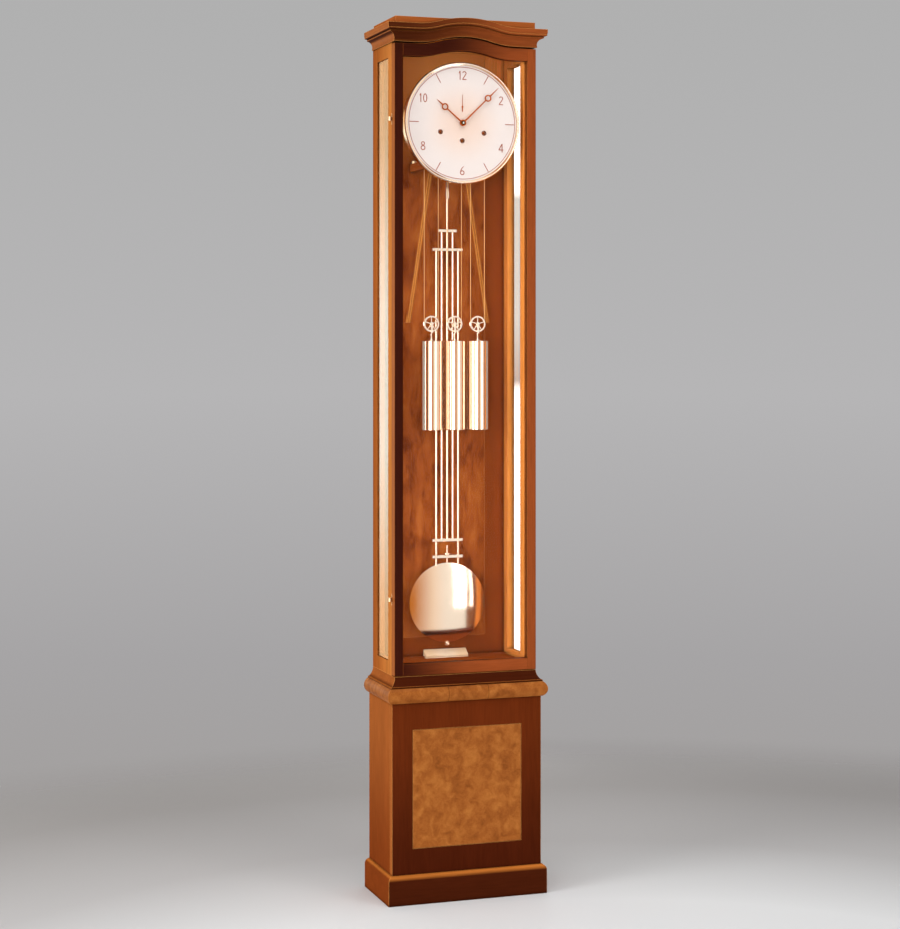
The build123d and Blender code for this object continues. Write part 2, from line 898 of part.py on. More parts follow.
with BuildPart() as door_glass:
    with BuildSketch(facing(glass_back)):
        with BuildLine():
            arched_outline(pane_half, pane_bottom, pane_top)
        make_face()
    extrude(amount=glass_thickness)
    chamfer(faces().sort_by(Axis.Y)[0].edges(), length=bevel_depth, length2=bevel_width)
save(door_glass, "door_glass")

with BuildPart() as door_glass_beads:
    with BuildSketch(facing(door_thickness)):
        with BuildLine():
            arched_outline(rebate_half - glue_line, rebate_bottom + glue_line, rebate_top - glue_line)
        make_face()
        with BuildLine():
            arched_outline(opening_half, sight_bottom, sight_top)
        make_face(mode=Mode.SUBTRACT)
    extrude(amount=door_thickness - glass_back - glue_line)
save(door_glass_beads, "door_glass_beads")


def hinge_half(moving):
    """Leaf with half a barrel, at both hinge heights. The moving half has the upper barrel."""
    up = 1 if moving else -1
    lap = -1 if moving else 1
    leaf_middle = hinge_depth + lap * (hinge_leaf_thickness / 2 + running_clearance)
    with BuildPart() as half:
        for height in hinge_heights:
            leaf_end = -half_width + hinge_leaf_width - hinge_barrel_radius - running_clearance
            if moving:
                leaf_end = -half_width + door_stile - glass_rebate - 2 * glue_line
            barrel_start = height if moving else height - hinge_barrel_length
            with BuildSketch(Plane.XY.offset(barrel_start + up * running_clearance)):
                with Locations((hinge_x, depth(hinge_depth))):
                    Circle(hinge_barrel_radius)
            extrude(amount=hinge_barrel_length)
            with BuildSketch(facing(leaf_middle + hinge_leaf_thickness / 2)):
                with Locations(((leaf_end + hinge_x) / 2, barrel_start + hinge_barrel_length / 2)):
                    Rectangle(leaf_end - hinge_x, hinge_barrel_length - 2 * running_clearance)
                with Locations(((leaf_end - half_width + running_clearance) / 2, height)):
                    Rectangle(leaf_end + half_width - running_clearance, hinge_leaf_length)
            extrude(amount=hinge_leaf_thickness)
            bore = hinge_pin_radius + running_clearance if moving else hinge_pin_radius
            with BuildSketch(Plane.XY.offset(height - 2 * hinge_barrel_length)):
                with Locations((hinge_x, depth(hinge_depth))):
                    Circle(bore)
            extrude(amount=4 * hinge_barrel_length, mode=Mode.SUBTRACT)
            if not moving:
                with BuildSketch(Plane.XY.offset(height - hinge_barrel_length - running_clearance)):
                    with Locations((hinge_x, depth(hinge_depth))):
                        Circle(hinge_pin_radius)
                extrude(amount=2 * hinge_barrel_length)
    return half


hinge_case_leaves = hinge_half(moving=False)
save(hinge_case_leaves, "hinge_case_leaves")
hinge_door_leaves = hinge_half(moving=True)
save(hinge_door_leaves, "hinge_door_leaves")

with BuildPart() as door_catch:
    with BuildSketch(facing(side_front + catch_length)):
        with Locations((catch_x, catch_height)):
            Circle(catch_radius)
    extrude(amount=catch_length)
save(door_catch, "door_catch")

with BuildPart() as catch_plate:
    with BuildSketch(facing(door_thickness)):
        with Locations((catch_x, catch_height)):
            Circle(catch_plate_radius)
    extrude(amount=catch_plate_thickness)
save(catch_plate, "catch_plate")

# ---------------------------------------------------------------- dial


def clock_point(radius, angle, height=dial_height):
    """Place on the dial at this radius, with the angle in degrees clockwise from the top."""
    turn = radians(angle)
    return (radius * sin(turn), height + radius * cos(turn))


winding_places = (
    (-side_winding_offset, side_winding_height),
    (0, centre_winding_height),
    (side_winding_offset, side_winding_height),
)

with BuildPart() as dial_plate:
    with BuildSketch(facing(dial_back)):
        with Locations((0, dial_height)):
            Circle(dial_radius)
            Circle(hour_pipe_radius + dial_centre_clearance, mode=Mode.SUBTRACT)
        with Locations((0, seconds_height)):
            Circle(seconds_arbor_radius + running_clearance, mode=Mode.SUBTRACT)
        with Locations(*winding_places):
            Circle(eyelet_bore + eyelet_wall + running_clearance, mode=Mode.SUBTRACT)
    extrude(amount=dial_thickness)
    with BuildSketch(facing(front_plate_depth)):
        with Locations((0, dial_height)):
            with GridLocations(2 * dial_foot_offset, 2 * dial_foot_offset, 2, 2):
                Circle(dial_foot_radius)
    extrude(amount=front_plate_depth - dial_back)
save(dial_plate, "dial_plate")

with BuildPart() as dial_bezel:
    bezel_front = depth(dial_depth - bezel_height)
    with BuildSketch(Plane.YZ):
        with BuildLine():
            Polyline(
                (depth(dial_depth), dial_height + bezel_inner_radius),
                (bezel_front + bezel_lip, dial_height + bezel_inner_radius + bezel_lip),
                (bezel_front, dial_height + bezel_inner_radius + bezel_lip + bezel_slope),
                (bezel_front, dial_height + bezel_outer_radius - bezel_chamfer),
                (bezel_front + bezel_chamfer, dial_height + bezel_outer_radius),
                (depth(dial_depth + bezel_skirt), dial_height + bezel_outer_radius),
                (depth(dial_depth + bezel_skirt), dial_height + dial_radius + glue_line),
                (depth(dial_depth), dial_height + dial_radius + glue_line),
                close=True,
            )
        make_face()
    revolve(axis=Axis((0, 0, dial_height), (0, 1, 0)))
save(dial_bezel, "dial_bezel")

numeral_half = numeral_height / 2


def draw_one(x, z):
    """Upright with a short flag."""
    half_stroke = numeral_stroke / 2
    top = z + numeral_half
    Polygon(
        (x - half_stroke, z - numeral_half),
        (x + half_stroke, z - numeral_half),
        (x + half_stroke, top),
        (x - half_stroke, top),
        (x - numeral_stroke - half_stroke, top - one_flag / 2),
        (x - numeral_stroke - half_stroke, top - one_flag),
        (x - half_stroke, top - one_flag / 2),
        align=None,
    )


def draw_ring(x, z, half_wide, half_high):
    """Oval stroke."""
    with Locations((x, z)):
        Ellipse(half_wide, half_high)
        Ellipse(half_wide - numeral_stroke, half_high - numeral_stroke, mode=Mode.SUBTRACT)


def draw_two(x, z):
    """Round top, slanting neck and level foot."""
    bowl = two_width / 2
    foot = z - numeral_half
    with BuildLine(mode=Mode.PRIVATE) as stroke_line:
        CenterArc((x, z + numeral_half - bowl), bowl - numeral_stroke / 2, 165, -200)
        Line(stroke_line.line @ 1, (x - bowl + numeral_stroke / 2, foot + numeral_stroke))
    with BuildSketch(mode=Mode.PRIVATE) as neck:
        trace(stroke_line.line, line_width=numeral_stroke)
    add(neck.sketch)
    with Locations((x, foot + numeral_stroke / 2)):
        Rectangle(two_width, numeral_stroke)


def draw_four(x, z):
    """Slanting stroke, level bar and upright."""
    half = four_width / 2
    foot = z - numeral_half
    bar_bottom = foot + four_bar_rise
    bar_top = bar_bottom + numeral_stroke
    top = z + numeral_half
    upright_right = x + half - numeral_stroke
    upright_left = upright_right - numeral_stroke
    Polygon(
        (upright_left, top),
        (x - half, bar_top),
        (x - half, bar_bottom),
        (upright_left, bar_bottom),
        (upright_left, foot),
        (upright_right, foot),
        (upright_right, bar_bottom),
        (x + half, bar_bottom),
        (x + half, bar_top),
        (upright_right, bar_top),
        (upright_right, top),
        align=None,
    )
    Polygon(
        (x - half + numeral_stroke, bar_top),
        (upright_left, bar_top),
        (upright_left, top - 2 * numeral_stroke),
        align=None,
        mode=Mode.SUBTRACT,
    )


def draw_six(x, z):
    """Round bowl with a curved stem."""
    bowl = six_bowl_radius
    centre = z - numeral_half + bowl
    top = z + numeral_half
    bend = x - bowl + numeral_stroke
    draw_ring(x, centre, bowl, bowl)
    outer = (x - bowl, centre)
    inner = (x - bowl + numeral_stroke, centre)
    tip = (x + six_lean, top)
    tip_inner = (x + six_lean + numeral_stroke, top)
    with BuildLine(mode=Mode.PRIVATE) as stem:
        ThreePointArc(outer, (bend, (centre + top) / 2), tip)
        Line(tip, tip_inner)
        ThreePointArc(tip_inner, (bend + numeral_stroke, (centre + top) / 2), inner)
        Line(inner, outer)
    make_face(stem.line)


def draw_eight(x, z):
    """Two stacked bowls."""
    draw_ring(x, z + numeral_half - eight_upper_radius, eight_upper_radius, eight_upper_radius)
    draw_ring(x, z - numeral_half + eight_lower_radius, eight_lower_radius, eight_lower_radius)


with BuildPart() as dial_markings:
    with BuildSketch(facing(dial_depth)):
        with Locations((0, dial_height)):
            Circle(ring_line_radius + ring_line_width / 2)
            Circle(ring_line_radius - ring_line_width / 2, mode=Mode.SUBTRACT)
        for hour in range(1, 13):
            x, z = clock_point(numeral_radius, 30 * hour)
            if hour == 12:
                draw_one(x - numeral_pitch / 2, z)
                draw_two(x + numeral_pitch / 2, z)
            elif hour == 10:
                draw_one(x - numeral_pitch / 2, z)
                draw_ring(x + numeral_pitch / 2, z, zero_width / 2, numeral_half)
            elif hour == 2:
                draw_two(x, z)
            elif hour == 4:
                draw_four(x, z)
            elif hour == 6:
                draw_six(x, z)
            elif hour == 8:
                draw_eight(x, z)
            else:
                place = clock_point((hour_stroke_inner + hour_stroke_outer) / 2, 30 * hour)
                with Locations(place):
                    Rectangle(hour_stroke_width, hour_stroke_outer - hour_stroke_inner, rotation=-30 * hour)
    extrude(amount=marking_thickness)
save(dial_markings, "dial_markings")

with BuildPart() as winding_eyelets:
    for place in winding_places:
        with BuildSketch(facing(dial_depth)):
            with Locations(place):
                Circle(eyelet_radius)
                Circle(eyelet_bore, mode=Mode.SUBTRACT)
        extrude(amount=eyelet_flange)
        with BuildSketch(facing(dial_back)):
            with Locations(place):
                Circle(eyelet_bore + eyelet_wall)
                Circle(eyelet_bore, mode=Mode.SUBTRACT)
        extrude(amount=dial_thickness)
save(winding_eyelets, "winding_eyelets")

# ---------------------------------------------------------------- hands


def draw_hand(ring_radius, tip_radius):
    """Boss, stem with an open ring and a spear tip, pointing up from the dial centre."""
    ring_top = ring_radius + hand_ring_outer
    waist = hand_width / 2
    neck = hand_neck_width / 2
    point = hand_point_width / 2
    ring_wall = hand_ring_outer - hand_ring_inner
    with Locations((0, 0)):
        Circle(hand_boss_radius)
    Polygon((-waist, 0), (waist, 0), (neck, ring_radius), (-neck, ring_radius), align=None)
    with Locations((0, ring_radius)):
        Circle(hand_ring_outer)
        Circle(hand_ring_inner, mode=Mode.SUBTRACT)
    Polygon(
        (-waist, ring_top - ring_wall / 2),
        (waist, ring_top - ring_wall / 2),
        (point, tip_radius),
        (-point, tip_radius),
        align=None,
    )


with BuildPart() as hour_hand:
    hand_plane = Plane(
        origin=(0, depth(hour_hand_depth + hand_thickness), dial_height),
        x_dir=(cos(radians(hour_angle)), 0, -sin(radians(hour_angle))),
        z_dir=(0, -1, 0),
    )
    with BuildSketch(hand_plane):
        draw_hand(hour_ring_radius, hour_tip_radius)
    extrude(amount=hand_thickness)
    with BuildSketch(facing(hour_wheel_depth + wheel_thickness)):
        with Locations((0, dial_height)):
            Circle(hour_pipe_radius)
    extrude(amount=hour_wheel_depth + wheel_thickness - hour_hand_depth)
    with BuildSketch(facing(hour_wheel_depth + wheel_thickness)):
        with Locations((0, dial_height)):
            Circle(hour_wheel_radius)
    extrude(amount=wheel_thickness)
    with BuildSketch(facing(hour_wheel_depth + wheel_thickness)):
        with Locations((0, dial_height)):
            Circle(centre_arbor_radius + running_clearance)
    extrude(amount=hour_wheel_depth + wheel_thickness - hour_hand_depth, mode=Mode.SUBTRACT)
save(hour_hand, "hour_hand")

with BuildPart() as minute_hand:
    hand_plane = Plane(
        origin=(0, depth(minute_hand_depth + hand_thickness), dial_height),
        x_dir=(cos(radians(minute_angle)), 0, -sin(radians(minute_angle))),
        z_dir=(0, -1, 0),
    )
    with BuildSketch(hand_plane):
        draw_hand(minute_ring_radius, minute_tip_radius)
        with Locations((0, 0)):
            Circle(centre_arbor_radius + glue_line, mode=Mode.SUBTRACT)
    extrude(amount=hand_thickness)
save(minute_hand, "minute_hand")

hand_nut_front = minute_hand_depth - glue_line - hand_nut_thickness

with BuildPart() as hand_nut:
    with BuildSketch(facing(minute_hand_depth - glue_line)):
        with Locations((0, dial_height)):
            Circle(hand_nut_radius)
    extrude(amount=hand_nut_thickness)
    chamfer(faces().sort_by(Axis.Y)[0].edges(), length=hand_nut_chamfer)
    with BuildSketch(facing(minute_hand_depth - glue_line)):
        with Locations((0, dial_height)):
            Circle(centre_arbor_radius + glue_line)
    extrude(amount=hand_nut_thickness, mode=Mode.SUBTRACT)
save(hand_nut, "hand_nut")

with BuildPart() as seconds_hand:
    with BuildSketch(facing(seconds_hand_depth + seconds_thickness)):
        Polygon(
            (-seconds_width / 2, seconds_height),
            (seconds_width / 2, seconds_height),
            (seconds_point_width / 2, seconds_height + seconds_tip_radius),
            (-seconds_point_width / 2, seconds_height + seconds_tip_radius),
            align=None,
        )
        with Locations((0, seconds_height - seconds_tail_radius / 2)):
            Rectangle(seconds_tail_width, seconds_tail_radius)
        with Locations((0, seconds_height)):
            Circle(seconds_boss_radius)
    extrude(amount=seconds_thickness)
    with BuildSketch(facing(back_plate_depth)):
        with Locations((0, seconds_height)):
            Circle(seconds_arbor_radius)
    extrude(amount=back_plate_depth - seconds_hand_depth)
    with BuildSketch(facing(centre_wheel_depth + wheel_thickness)):
        with Locations((0, seconds_height)):
            Circle(seconds_wheel_radius)
    extrude(amount=wheel_thickness)
save(seconds_hand, "seconds_hand")

# ---------------------------------------------------------------- movement

plate_height = plate_top - plate_bottom
plate_middle = (plate_top + plate_bottom) / 2
bearing_bore = arbor_radius + running_clearance
cheek_back_start = pendulum_depth + cheek_gap / 2
cheek_front_end = pendulum_depth - cheek_gap / 2


def draw_plate():
    """Rectangular movement plate, bored for the arbors that run through it."""
    with Locations((0, plate_middle)):
        Rectangle(plate_width, plate_height)
    with Locations((0, dial_height)):
        Circle(centre_arbor_radius + running_clearance, mode=Mode.SUBTRACT)
    with Locations(*winding_places):
        Circle(drum_arbor_radius + running_clearance, mode=Mode.SUBTRACT)
    with Locations((0, seconds_height)):
        Circle(seconds_arbor_radius + running_clearance, mode=Mode.SUBTRACT)


with BuildPart() as movement_front_plate:
    with BuildSketch(facing(front_plate_depth + plate_thickness)):
        draw_plate()
    extrude(amount=plate_thickness)
save(movement_front_plate, "movement_front_plate")

with BuildPart() as movement_back_plate:
    with BuildSketch(facing(movement_back)):
        draw_plate()
    extrude(amount=plate_thickness)
    with BuildSketch(facing(back_plate_depth)):
        with Locations((0, plate_middle)):
            with GridLocations(plate_width - 2 * pillar_inset, plate_height - 2 * pillar_inset, 2, 2):
                Circle(pillar_radius)
    extrude(amount=plate_spacing)
    for side in (-1, 1):
        with BuildSketch(facing(cheek_back_start + cheek_thickness)):
            with Locations((side * cock_arm_offset, pendulum_pivot_height)):
                Rectangle(cock_arm_width, cock_height)
        extrude(amount=cheek_back_start + cheek_thickness - movement_back)
        with BuildSketch(facing(hammer_arbor_depth + hammer_lug_reach)):
            with Locations((side * hammer_lug_offset, hammer_arbor_height)):
                Rectangle(hammer_lug_width, hammer_lug_height)
        extrude(amount=hammer_arbor_depth + hammer_lug_reach - movement_back)
    for cheek_end in (cheek_front_end, cheek_back_start + cheek_thickness):
        with BuildSketch(facing(cheek_end)):
            with Locations((0, pendulum_pivot_height)):
                Rectangle(2 * cock_arm_offset, cock_height)
        extrude(amount=cheek_thickness)
    with BuildSketch(facing(cheek_back_start + cheek_thickness)):
        with Locations((0, pendulum_pivot_height)):
            Circle(bearing_bore)
    extrude(amount=cheek_back_start + cheek_thickness - back_plate_depth, mode=Mode.SUBTRACT)
    with BuildSketch(facing(movement_back)):
        with Locations((0, escape_height)):
            Circle(bearing_bore)
    extrude(amount=plate_thickness, mode=Mode.SUBTRACT)
    with BuildSketch(across(-hammer_lug_offset - hammer_lug_width)):
        with Locations((depth(hammer_arbor_depth), hammer_arbor_height)):
            Circle(bearing_bore)
    extrude(amount=2 * (hammer_lug_offset + hammer_lug_width), mode=Mode.SUBTRACT)
save(movement_back_plate, "movement_back_plate")

with BuildPart() as centre_arbor:
    with BuildSketch(facing(movement_back)):
        with Locations((0, dial_height)):
            Circle(centre_arbor_radius)
    extrude(amount=movement_back - hand_nut_front)
    with BuildSketch(facing(centre_wheel_depth + wheel_thickness)):
        with Locations((0, dial_height)):
            Circle(centre_wheel_radius)
    extrude(amount=wheel_thickness)
save(centre_arbor, "centre_arbor")


def winding_drum(place):
    """Winding square, arbor, front flange, plain barrel and toothed great wheel."""
    great_wheel_front = drum_front + drum_length
    with BuildPart() as drum:
        with BuildSketch(facing(front_plate_depth)):
            with Locations(place):
                Rectangle(winding_square, winding_square)
        extrude(amount=front_plate_depth - dial_back)
        with BuildSketch(facing(movement_back)):
            with Locations(place):
                Circle(drum_arbor_radius)
        extrude(amount=movement_back - front_plate_depth)
        with BuildSketch(facing(great_wheel_front)):
            with Locations(place):
                Circle(drum_core_radius)
        extrude(amount=drum_length)
        with BuildSketch(facing(drum_front)):
            with Locations(place):
                Circle(drum_flange_radius)
        extrude(amount=drum_flange_thickness)
        with BuildSketch(facing(great_wheel_front + great_wheel_thickness)):
            with Locations(place):
                Circle(great_wheel_radius)
                tooth_pitch = 2 * pi * great_wheel_radius / great_wheel_teeth
                with PolarLocations(great_wheel_radius, great_wheel_teeth):
                    Rectangle(2 * wheel_tooth_depth, tooth_pitch / 2, mode=Mode.SUBTRACT)
        extrude(amount=great_wheel_thickness)
    return drum


winding_drum_left = winding_drum(winding_places[0])
save(winding_drum_left, "winding_drum_left")
winding_drum_centre = winding_drum(winding_places[1])
save(winding_drum_centre, "winding_drum_centre")
winding_drum_right = winding_drum(winding_places[2])
save(winding_drum_right, "winding_drum_right")

with BuildPart() as escape_wheel:
    with BuildSketch(facing(escape_depth + escape_thickness)):
        with Locations((0, escape_height)):
            Circle(escape_radius)
            tooth_angle = 360 / escape_teeth
            root = escape_radius - escape_tooth_depth
            outside = escape_radius + escape_tooth_depth
            for tooth in range(escape_teeth):
                hollow = radians(tooth_angle * tooth + escape_tip_angle)
                face = radians(tooth_angle * (tooth + 1) - escape_tip_angle)
                Polygon(
                    (outside * cos(hollow), outside * sin(hollow)),
                    (root * cos(face), root * sin(face)),
                    (outside * cos(face), outside * sin(face)),
                    align=None,
                    mode=Mode.SUBTRACT,
                )
    extrude(amount=escape_thickness)
    with BuildSketch(facing(escape_depth + escape_thickness)):
        with Locations((0, escape_height)):
            Circle(arbor_radius)
    extrude(amount=escape_depth + escape_thickness - back_plate_depth)
save(escape_wheel, "escape_wheel")

pallet_reach = sin(radians(45)) * (escape_radius + pallet_clearance)
pallet_height = escape_height - pallet_reach
crutch_depth = escape_depth + crutch_gap

with BuildPart() as anchor:
    with BuildSketch(facing(escape_depth + escape_thickness)):
        with Locations((0, pendulum_pivot_height)):
            Circle(anchor_hub_radius)
        for side in (-1, 1):
            Polygon(
                (0, pendulum_pivot_height - anchor_hub_radius / 2),
                (side * (pallet_reach + anchor_arm_width), pallet_height - anchor_arm_width / 2),
                (side * (pallet_reach + anchor_arm_width), pallet_height + anchor_arm_width / 2),
                (side * pallet_reach, pallet_height),
                (0, pendulum_pivot_height + anchor_hub_radius / 2),
                align=None,
            )
    extrude(amount=escape_thickness)
    with BuildSketch(facing(cheek_front_end - cheek_thickness / 2)):
        with Locations((0, pendulum_pivot_height)):
            Circle(arbor_radius)
    extrude(amount=cheek_front_end - cheek_thickness / 2 - back_plate_depth)
    with BuildSketch(facing(crutch_depth + crutch_hub_thickness / 2)):
        with Locations((0, pendulum_pivot_height)):
            Circle(anchor_hub_radius)
    extrude(amount=crutch_hub_thickness)
    with BuildSketch(Plane.XY.offset(pendulum_pivot_height - crutch_length)):
        with Locations((0, depth(crutch_depth))):
            Circle(crutch_radius)
    extrude(amount=crutch_length)
    fork_offset = leader_width / 2 + crutch_radius + running_clearance
    with Locations((0, depth(crutch_depth), pendulum_pivot_height - crutch_length)):
        Box(2 * (fork_offset + 2 * crutch_radius), crutch_hub_thickness, 4 * crutch_radius)
    with BuildSketch(facing(pendulum_depth + leader_thickness)):
        with Locations((0, pendulum_pivot_height - crutch_length)):
            with Locations((-fork_offset, 0), (fork_offset, 0)):
                Circle(crutch_radius)
    extrude(amount=pendulum_depth + leader_thickness - crutch_depth)
save(anchor, "anchor")

# ---------------------------------------------------------------- seat board

board_back = movement_back + seat_rear_margin
arm_offset = seat_board_width / 2 - seat_arm_width / 2
inner_run = side_weight_offset - pulley_pitch_radius
outer_run = side_weight_offset + pulley_pitch_radius
ferrule_places = (-inner_run, pulley_pitch_radius, inner_run)
slot_places = (-outer_run, -pulley_pitch_radius, outer_run)

with BuildPart() as seat_board:
    with BuildSketch(Plane.XY.offset(seat_bottom)):
        with Locations((0, (depth(seat_front) + depth(board_back)) / 2)):
            Rectangle(seat_board_width, board_back - seat_front)
        for side in (-1, 1):
            with Locations((side * arm_offset, (depth(board_back) + depth(back_front)) / 2)):
                Rectangle(seat_arm_width, back_front - board_back)
        for x in slot_places:
            with Locations((x, depth(weight_depth))):
                Rectangle(seat_slot_width, drum_length + seat_slot_margin, mode=Mode.SUBTRACT)
        for x in ferrule_places:
            with Locations((x, depth(weight_depth))):
                Circle(2 * cable_radius, mode=Mode.SUBTRACT)
    extrude(amount=seat_board_thickness)
save(seat_board, "seat_board")

with BuildPart() as seat_fittings:
    with BuildSketch(Plane.XY.offset(seat_top)):
        for x in ferrule_places:
            with Locations((x, depth(weight_depth))):
                Circle(ferrule_radius)
                Circle(cable_radius + cable_clearance, mode=Mode.SUBTRACT)
    extrude(amount=ferrule_length)
    with BuildSketch(Plane.XY.offset(seat_top)):
        for side in (-1, 1):
            with Locations((side * arm_offset, depth(back_front - 2 * seat_screw_radius))):
                Circle(seat_screw_radius)
    extrude(amount=seat_screw_height)
save(seat_fittings, "seat_fittings")

# ---------------------------------------------------------------- gong

rod_run = rod_bottom_offset - rod_top_offset
rod_drop = rod_top_height - rod_bottom_height
rod_slope = rod_run / rod_drop
block_middle_height = gong_block_bottom + gong_block_height / 2


def gong_rod_ends(side, spread):
    """Top and bottom ends of one rod. Each pair spreads at the top and nearly meets at the tip."""
    top = (side * (rod_top_offset + spread * gong_rod_spread / 2), depth(gong_depth), rod_top_height)
    tip_spread = spread * (gong_rod_radius + glue_line)
    bottom = (side * (rod_bottom_offset + tip_spread), depth(gong_depth), rod_bottom_height)
    return top, bottom


def gong_rod_plane(top, bottom):
    """Plane square to a rod at its top end."""
    return Plane(origin=top, z_dir=(bottom[0] - top[0], 0, bottom[2] - top[2]))


gong_rod_length = hypot(rod_run, rod_drop)

with BuildPart() as gong_blocks:
    for side in (-1, 1):
        with BuildSketch(facing(back_front)):
            with Locations((side * gong_block_offset, block_middle_height)):
                Rectangle(gong_block_width, gong_block_height)
        extrude(amount=back_front - gong_block_front)
    chamfer(edges().filter_by(Axis.Y), length=panel_clearance)
    for side in (-1, 1):
        for spread in (-1, 1):
            top, bottom = gong_rod_ends(side, spread)
            with BuildSketch(gong_rod_plane(top, bottom)):
                Circle(gong_rod_radius + glue_line)
            extrude(amount=gong_block_height, mode=Mode.SUBTRACT)
save(gong_blocks, "gong_blocks")

with BuildPart() as gong_rods:
    for side in (-1, 1):
        for spread in (-1, 1):
            top, bottom = gong_rod_ends(side, spread)
            with BuildSketch(gong_rod_plane(top, bottom).offset(glue_line)):
                Circle(gong_rod_radius)
            extrude(amount=gong_rod_length)
save(gong_rods, "gong_rods")

hammer_height = hammer_arbor_height - hammer_drop
hammer_x = rod_top_offset + rod_slope * (rod_top_height - hammer_height)

with BuildPart() as gong_hammers:
    with BuildSketch(across(-hammer_x - hammer_head_radius / 2)):
        with Locations((depth(hammer_arbor_depth), hammer_arbor_height)):
            Circle(arbor_radius)
    extrude(amount=2 * hammer_x + hammer_head_radius)
    with BuildSketch(facing(hammer_face)):
        for side in (-1, 1):
            with Locations((side * hammer_x, hammer_height)):
                Circle(hammer_head_radius)
    extrude(amount=hammer_head_length)
    with BuildSketch(Plane.XY.offset(hammer_height)):
        for side in (-1, 1):
            with Locations((side * hammer_x, depth(hammer_arbor_depth))):
                Circle(hammer_lever_radius)
    extrude(amount=hammer_drop)
save(gong_hammers, "gong_hammers")

# ---------------------------------------------------------------- pendulum

pin_front = cheek_front_end - cheek_thickness / 2 + pivot_end_gap
pin_back = cheek_back_start + cheek_thickness
rod_hook_top = hook_bottom + hook_bore

with BuildPart() as suspension:
    with BuildSketch(facing(pin_back)):
        with Locations((0, pendulum_pivot_height)):
            Circle(arbor_radius)
    extrude(amount=pin_back - pin_front)
    with BuildSketch(facing(pendulum_depth + leader_thickness / 2)):
        with Locations((0, pendulum_pivot_height)):
            Circle(suspension_eye_radius)
        with Locations((0, (pendulum_pivot_height + hook_top) / 2)):
            Rectangle(leader_width, pendulum_pivot_height - hook_top)
    extrude(amount=leader_thickness)
    with Locations((0, depth(pendulum_depth), (hook_top + hook_bottom) / 2)):
        Box(hook_width, hook_thickness, hook_top - hook_bottom)
    chamfer(faces().sort_by(Axis.Z)[0].edges(), length=hook_chamfer)
    with BuildSketch(Plane.XY.offset(hook_bottom)):
        with Locations((0, depth(pendulum_depth))):
            Circle(centre_rod_radius + glue_line)
    extrude(amount=rod_hook_top - hook_bottom, mode=Mode.SUBTRACT)
save(suspension, "suspension")

crosspiece_heights = (upper_bar, lower_bar, foot_bar, thread_bar)
bar_half = crosspiece_height / 2
outer_rod_spacing = 2 * rod_spacing
outer_rod_end = bob_height + bob_radius - outer_rod_entry
threaded_rod_top = thread_bar + threaded_rod_stand
rod_spans = (
    (0, centre_rod_radius, rod_hook_top - glue_line, foot_bar),
    (-rod_spacing, rod_radius, upper_bar, foot_bar),
    (rod_spacing, rod_radius, upper_bar, foot_bar),
    (-outer_rod_spacing, rod_radius, lower_bar, outer_rod_end),
    (outer_rod_spacing, rod_radius, lower_bar, outer_rod_end),
    (0, threaded_rod_radius, threaded_rod_top, pendulum_tip + threaded_rod_point),
)


def rod_holes(margin):
    """Clear the rods out of the piece being built, with this margin all round."""
    for x, radius, top, bottom in rod_spans:
        with BuildSketch(Plane.XY.offset(bottom - margin)) as hole:
            with Locations((x, depth(pendulum_depth))):
                Circle(radius + margin)
        extrude(hole.sketch, amount=top - bottom + 2 * margin, mode=Mode.SUBTRACT)


with BuildPart() as pendulum_rods:
    for x, radius, top, bottom in rod_spans:
        with BuildSketch(Plane.XY.offset(bottom)):
            with Locations((x, depth(pendulum_depth))):
                Circle(radius)
        extrude(amount=top - bottom)
    with Locations((0, depth(pendulum_depth), pendulum_tip + threaded_rod_point / 2)):
        Cone(threaded_rod_tip_radius, threaded_rod_radius, threaded_rod_point)
save(pendulum_rods, "pendulum_rods")

with BuildPart() as pendulum_crosspieces:
    for height, width in zip(crosspiece_heights, crosspiece_widths):
        with BuildSketch(Plane.XY.offset(height - bar_half)):
            with Locations((0, depth(pendulum_depth))):
                Rectangle(width, crosspiece_thickness)
        extrude(amount=crosspiece_height)
    chamfer(edges().filter_by(Axis.X), length=crosspiece_chamfer)
    with BuildSketch(Plane.XY.offset(thread_bar + bar_half + glue_line)):
        with Locations((0, depth(pendulum_depth))):
            Circle(crosspiece_thickness / 2)
    extrude(amount=locknut_hub)
    with BuildSketch(Plane.XY.offset(thread_bar + bar_half + glue_line + locknut_hub)):
        with Locations((0, depth(pendulum_depth))):
            Circle(locknut_radius)
    extrude(amount=locknut_thickness)
    rod_holes(glue_line)
save(pendulum_crosspieces, "pendulum_crosspieces")

with BuildPart() as pendulum_bob:
    rim_half = bob_rim / 2
    with BuildSketch(Plane.YZ):
        with BuildLine():
            front_pole = (depth(pendulum_depth) - rim_half - bob_crown, bob_height)
            back_pole = (depth(pendulum_depth) + rim_half + bob_crown, bob_height)
            rim_front = (depth(pendulum_depth) - rim_half, bob_height + bob_radius)
            rim_back = (depth(pendulum_depth) + rim_half, bob_height + bob_radius)
            TangentArc(front_pole, rim_front, tangent=(0, 1))
            Line(rim_front, rim_back)
            TangentArc(back_pole, rim_back, tangent=(0, 1))
            Line(back_pole, front_pole)
        make_face()
    revolve(axis=Axis((0, 0, bob_height), (0, 1, 0)))
    with BuildSketch(Plane.XY.offset(bob_height - bob_radius)):
        with Locations((0, depth(pendulum_depth))):
            Circle(threaded_rod_radius + running_clearance)
    extrude(amount=2 * bob_radius, mode=Mode.SUBTRACT)
    rod_holes(glue_line)
save(pendulum_bob, "pendulum_bob")

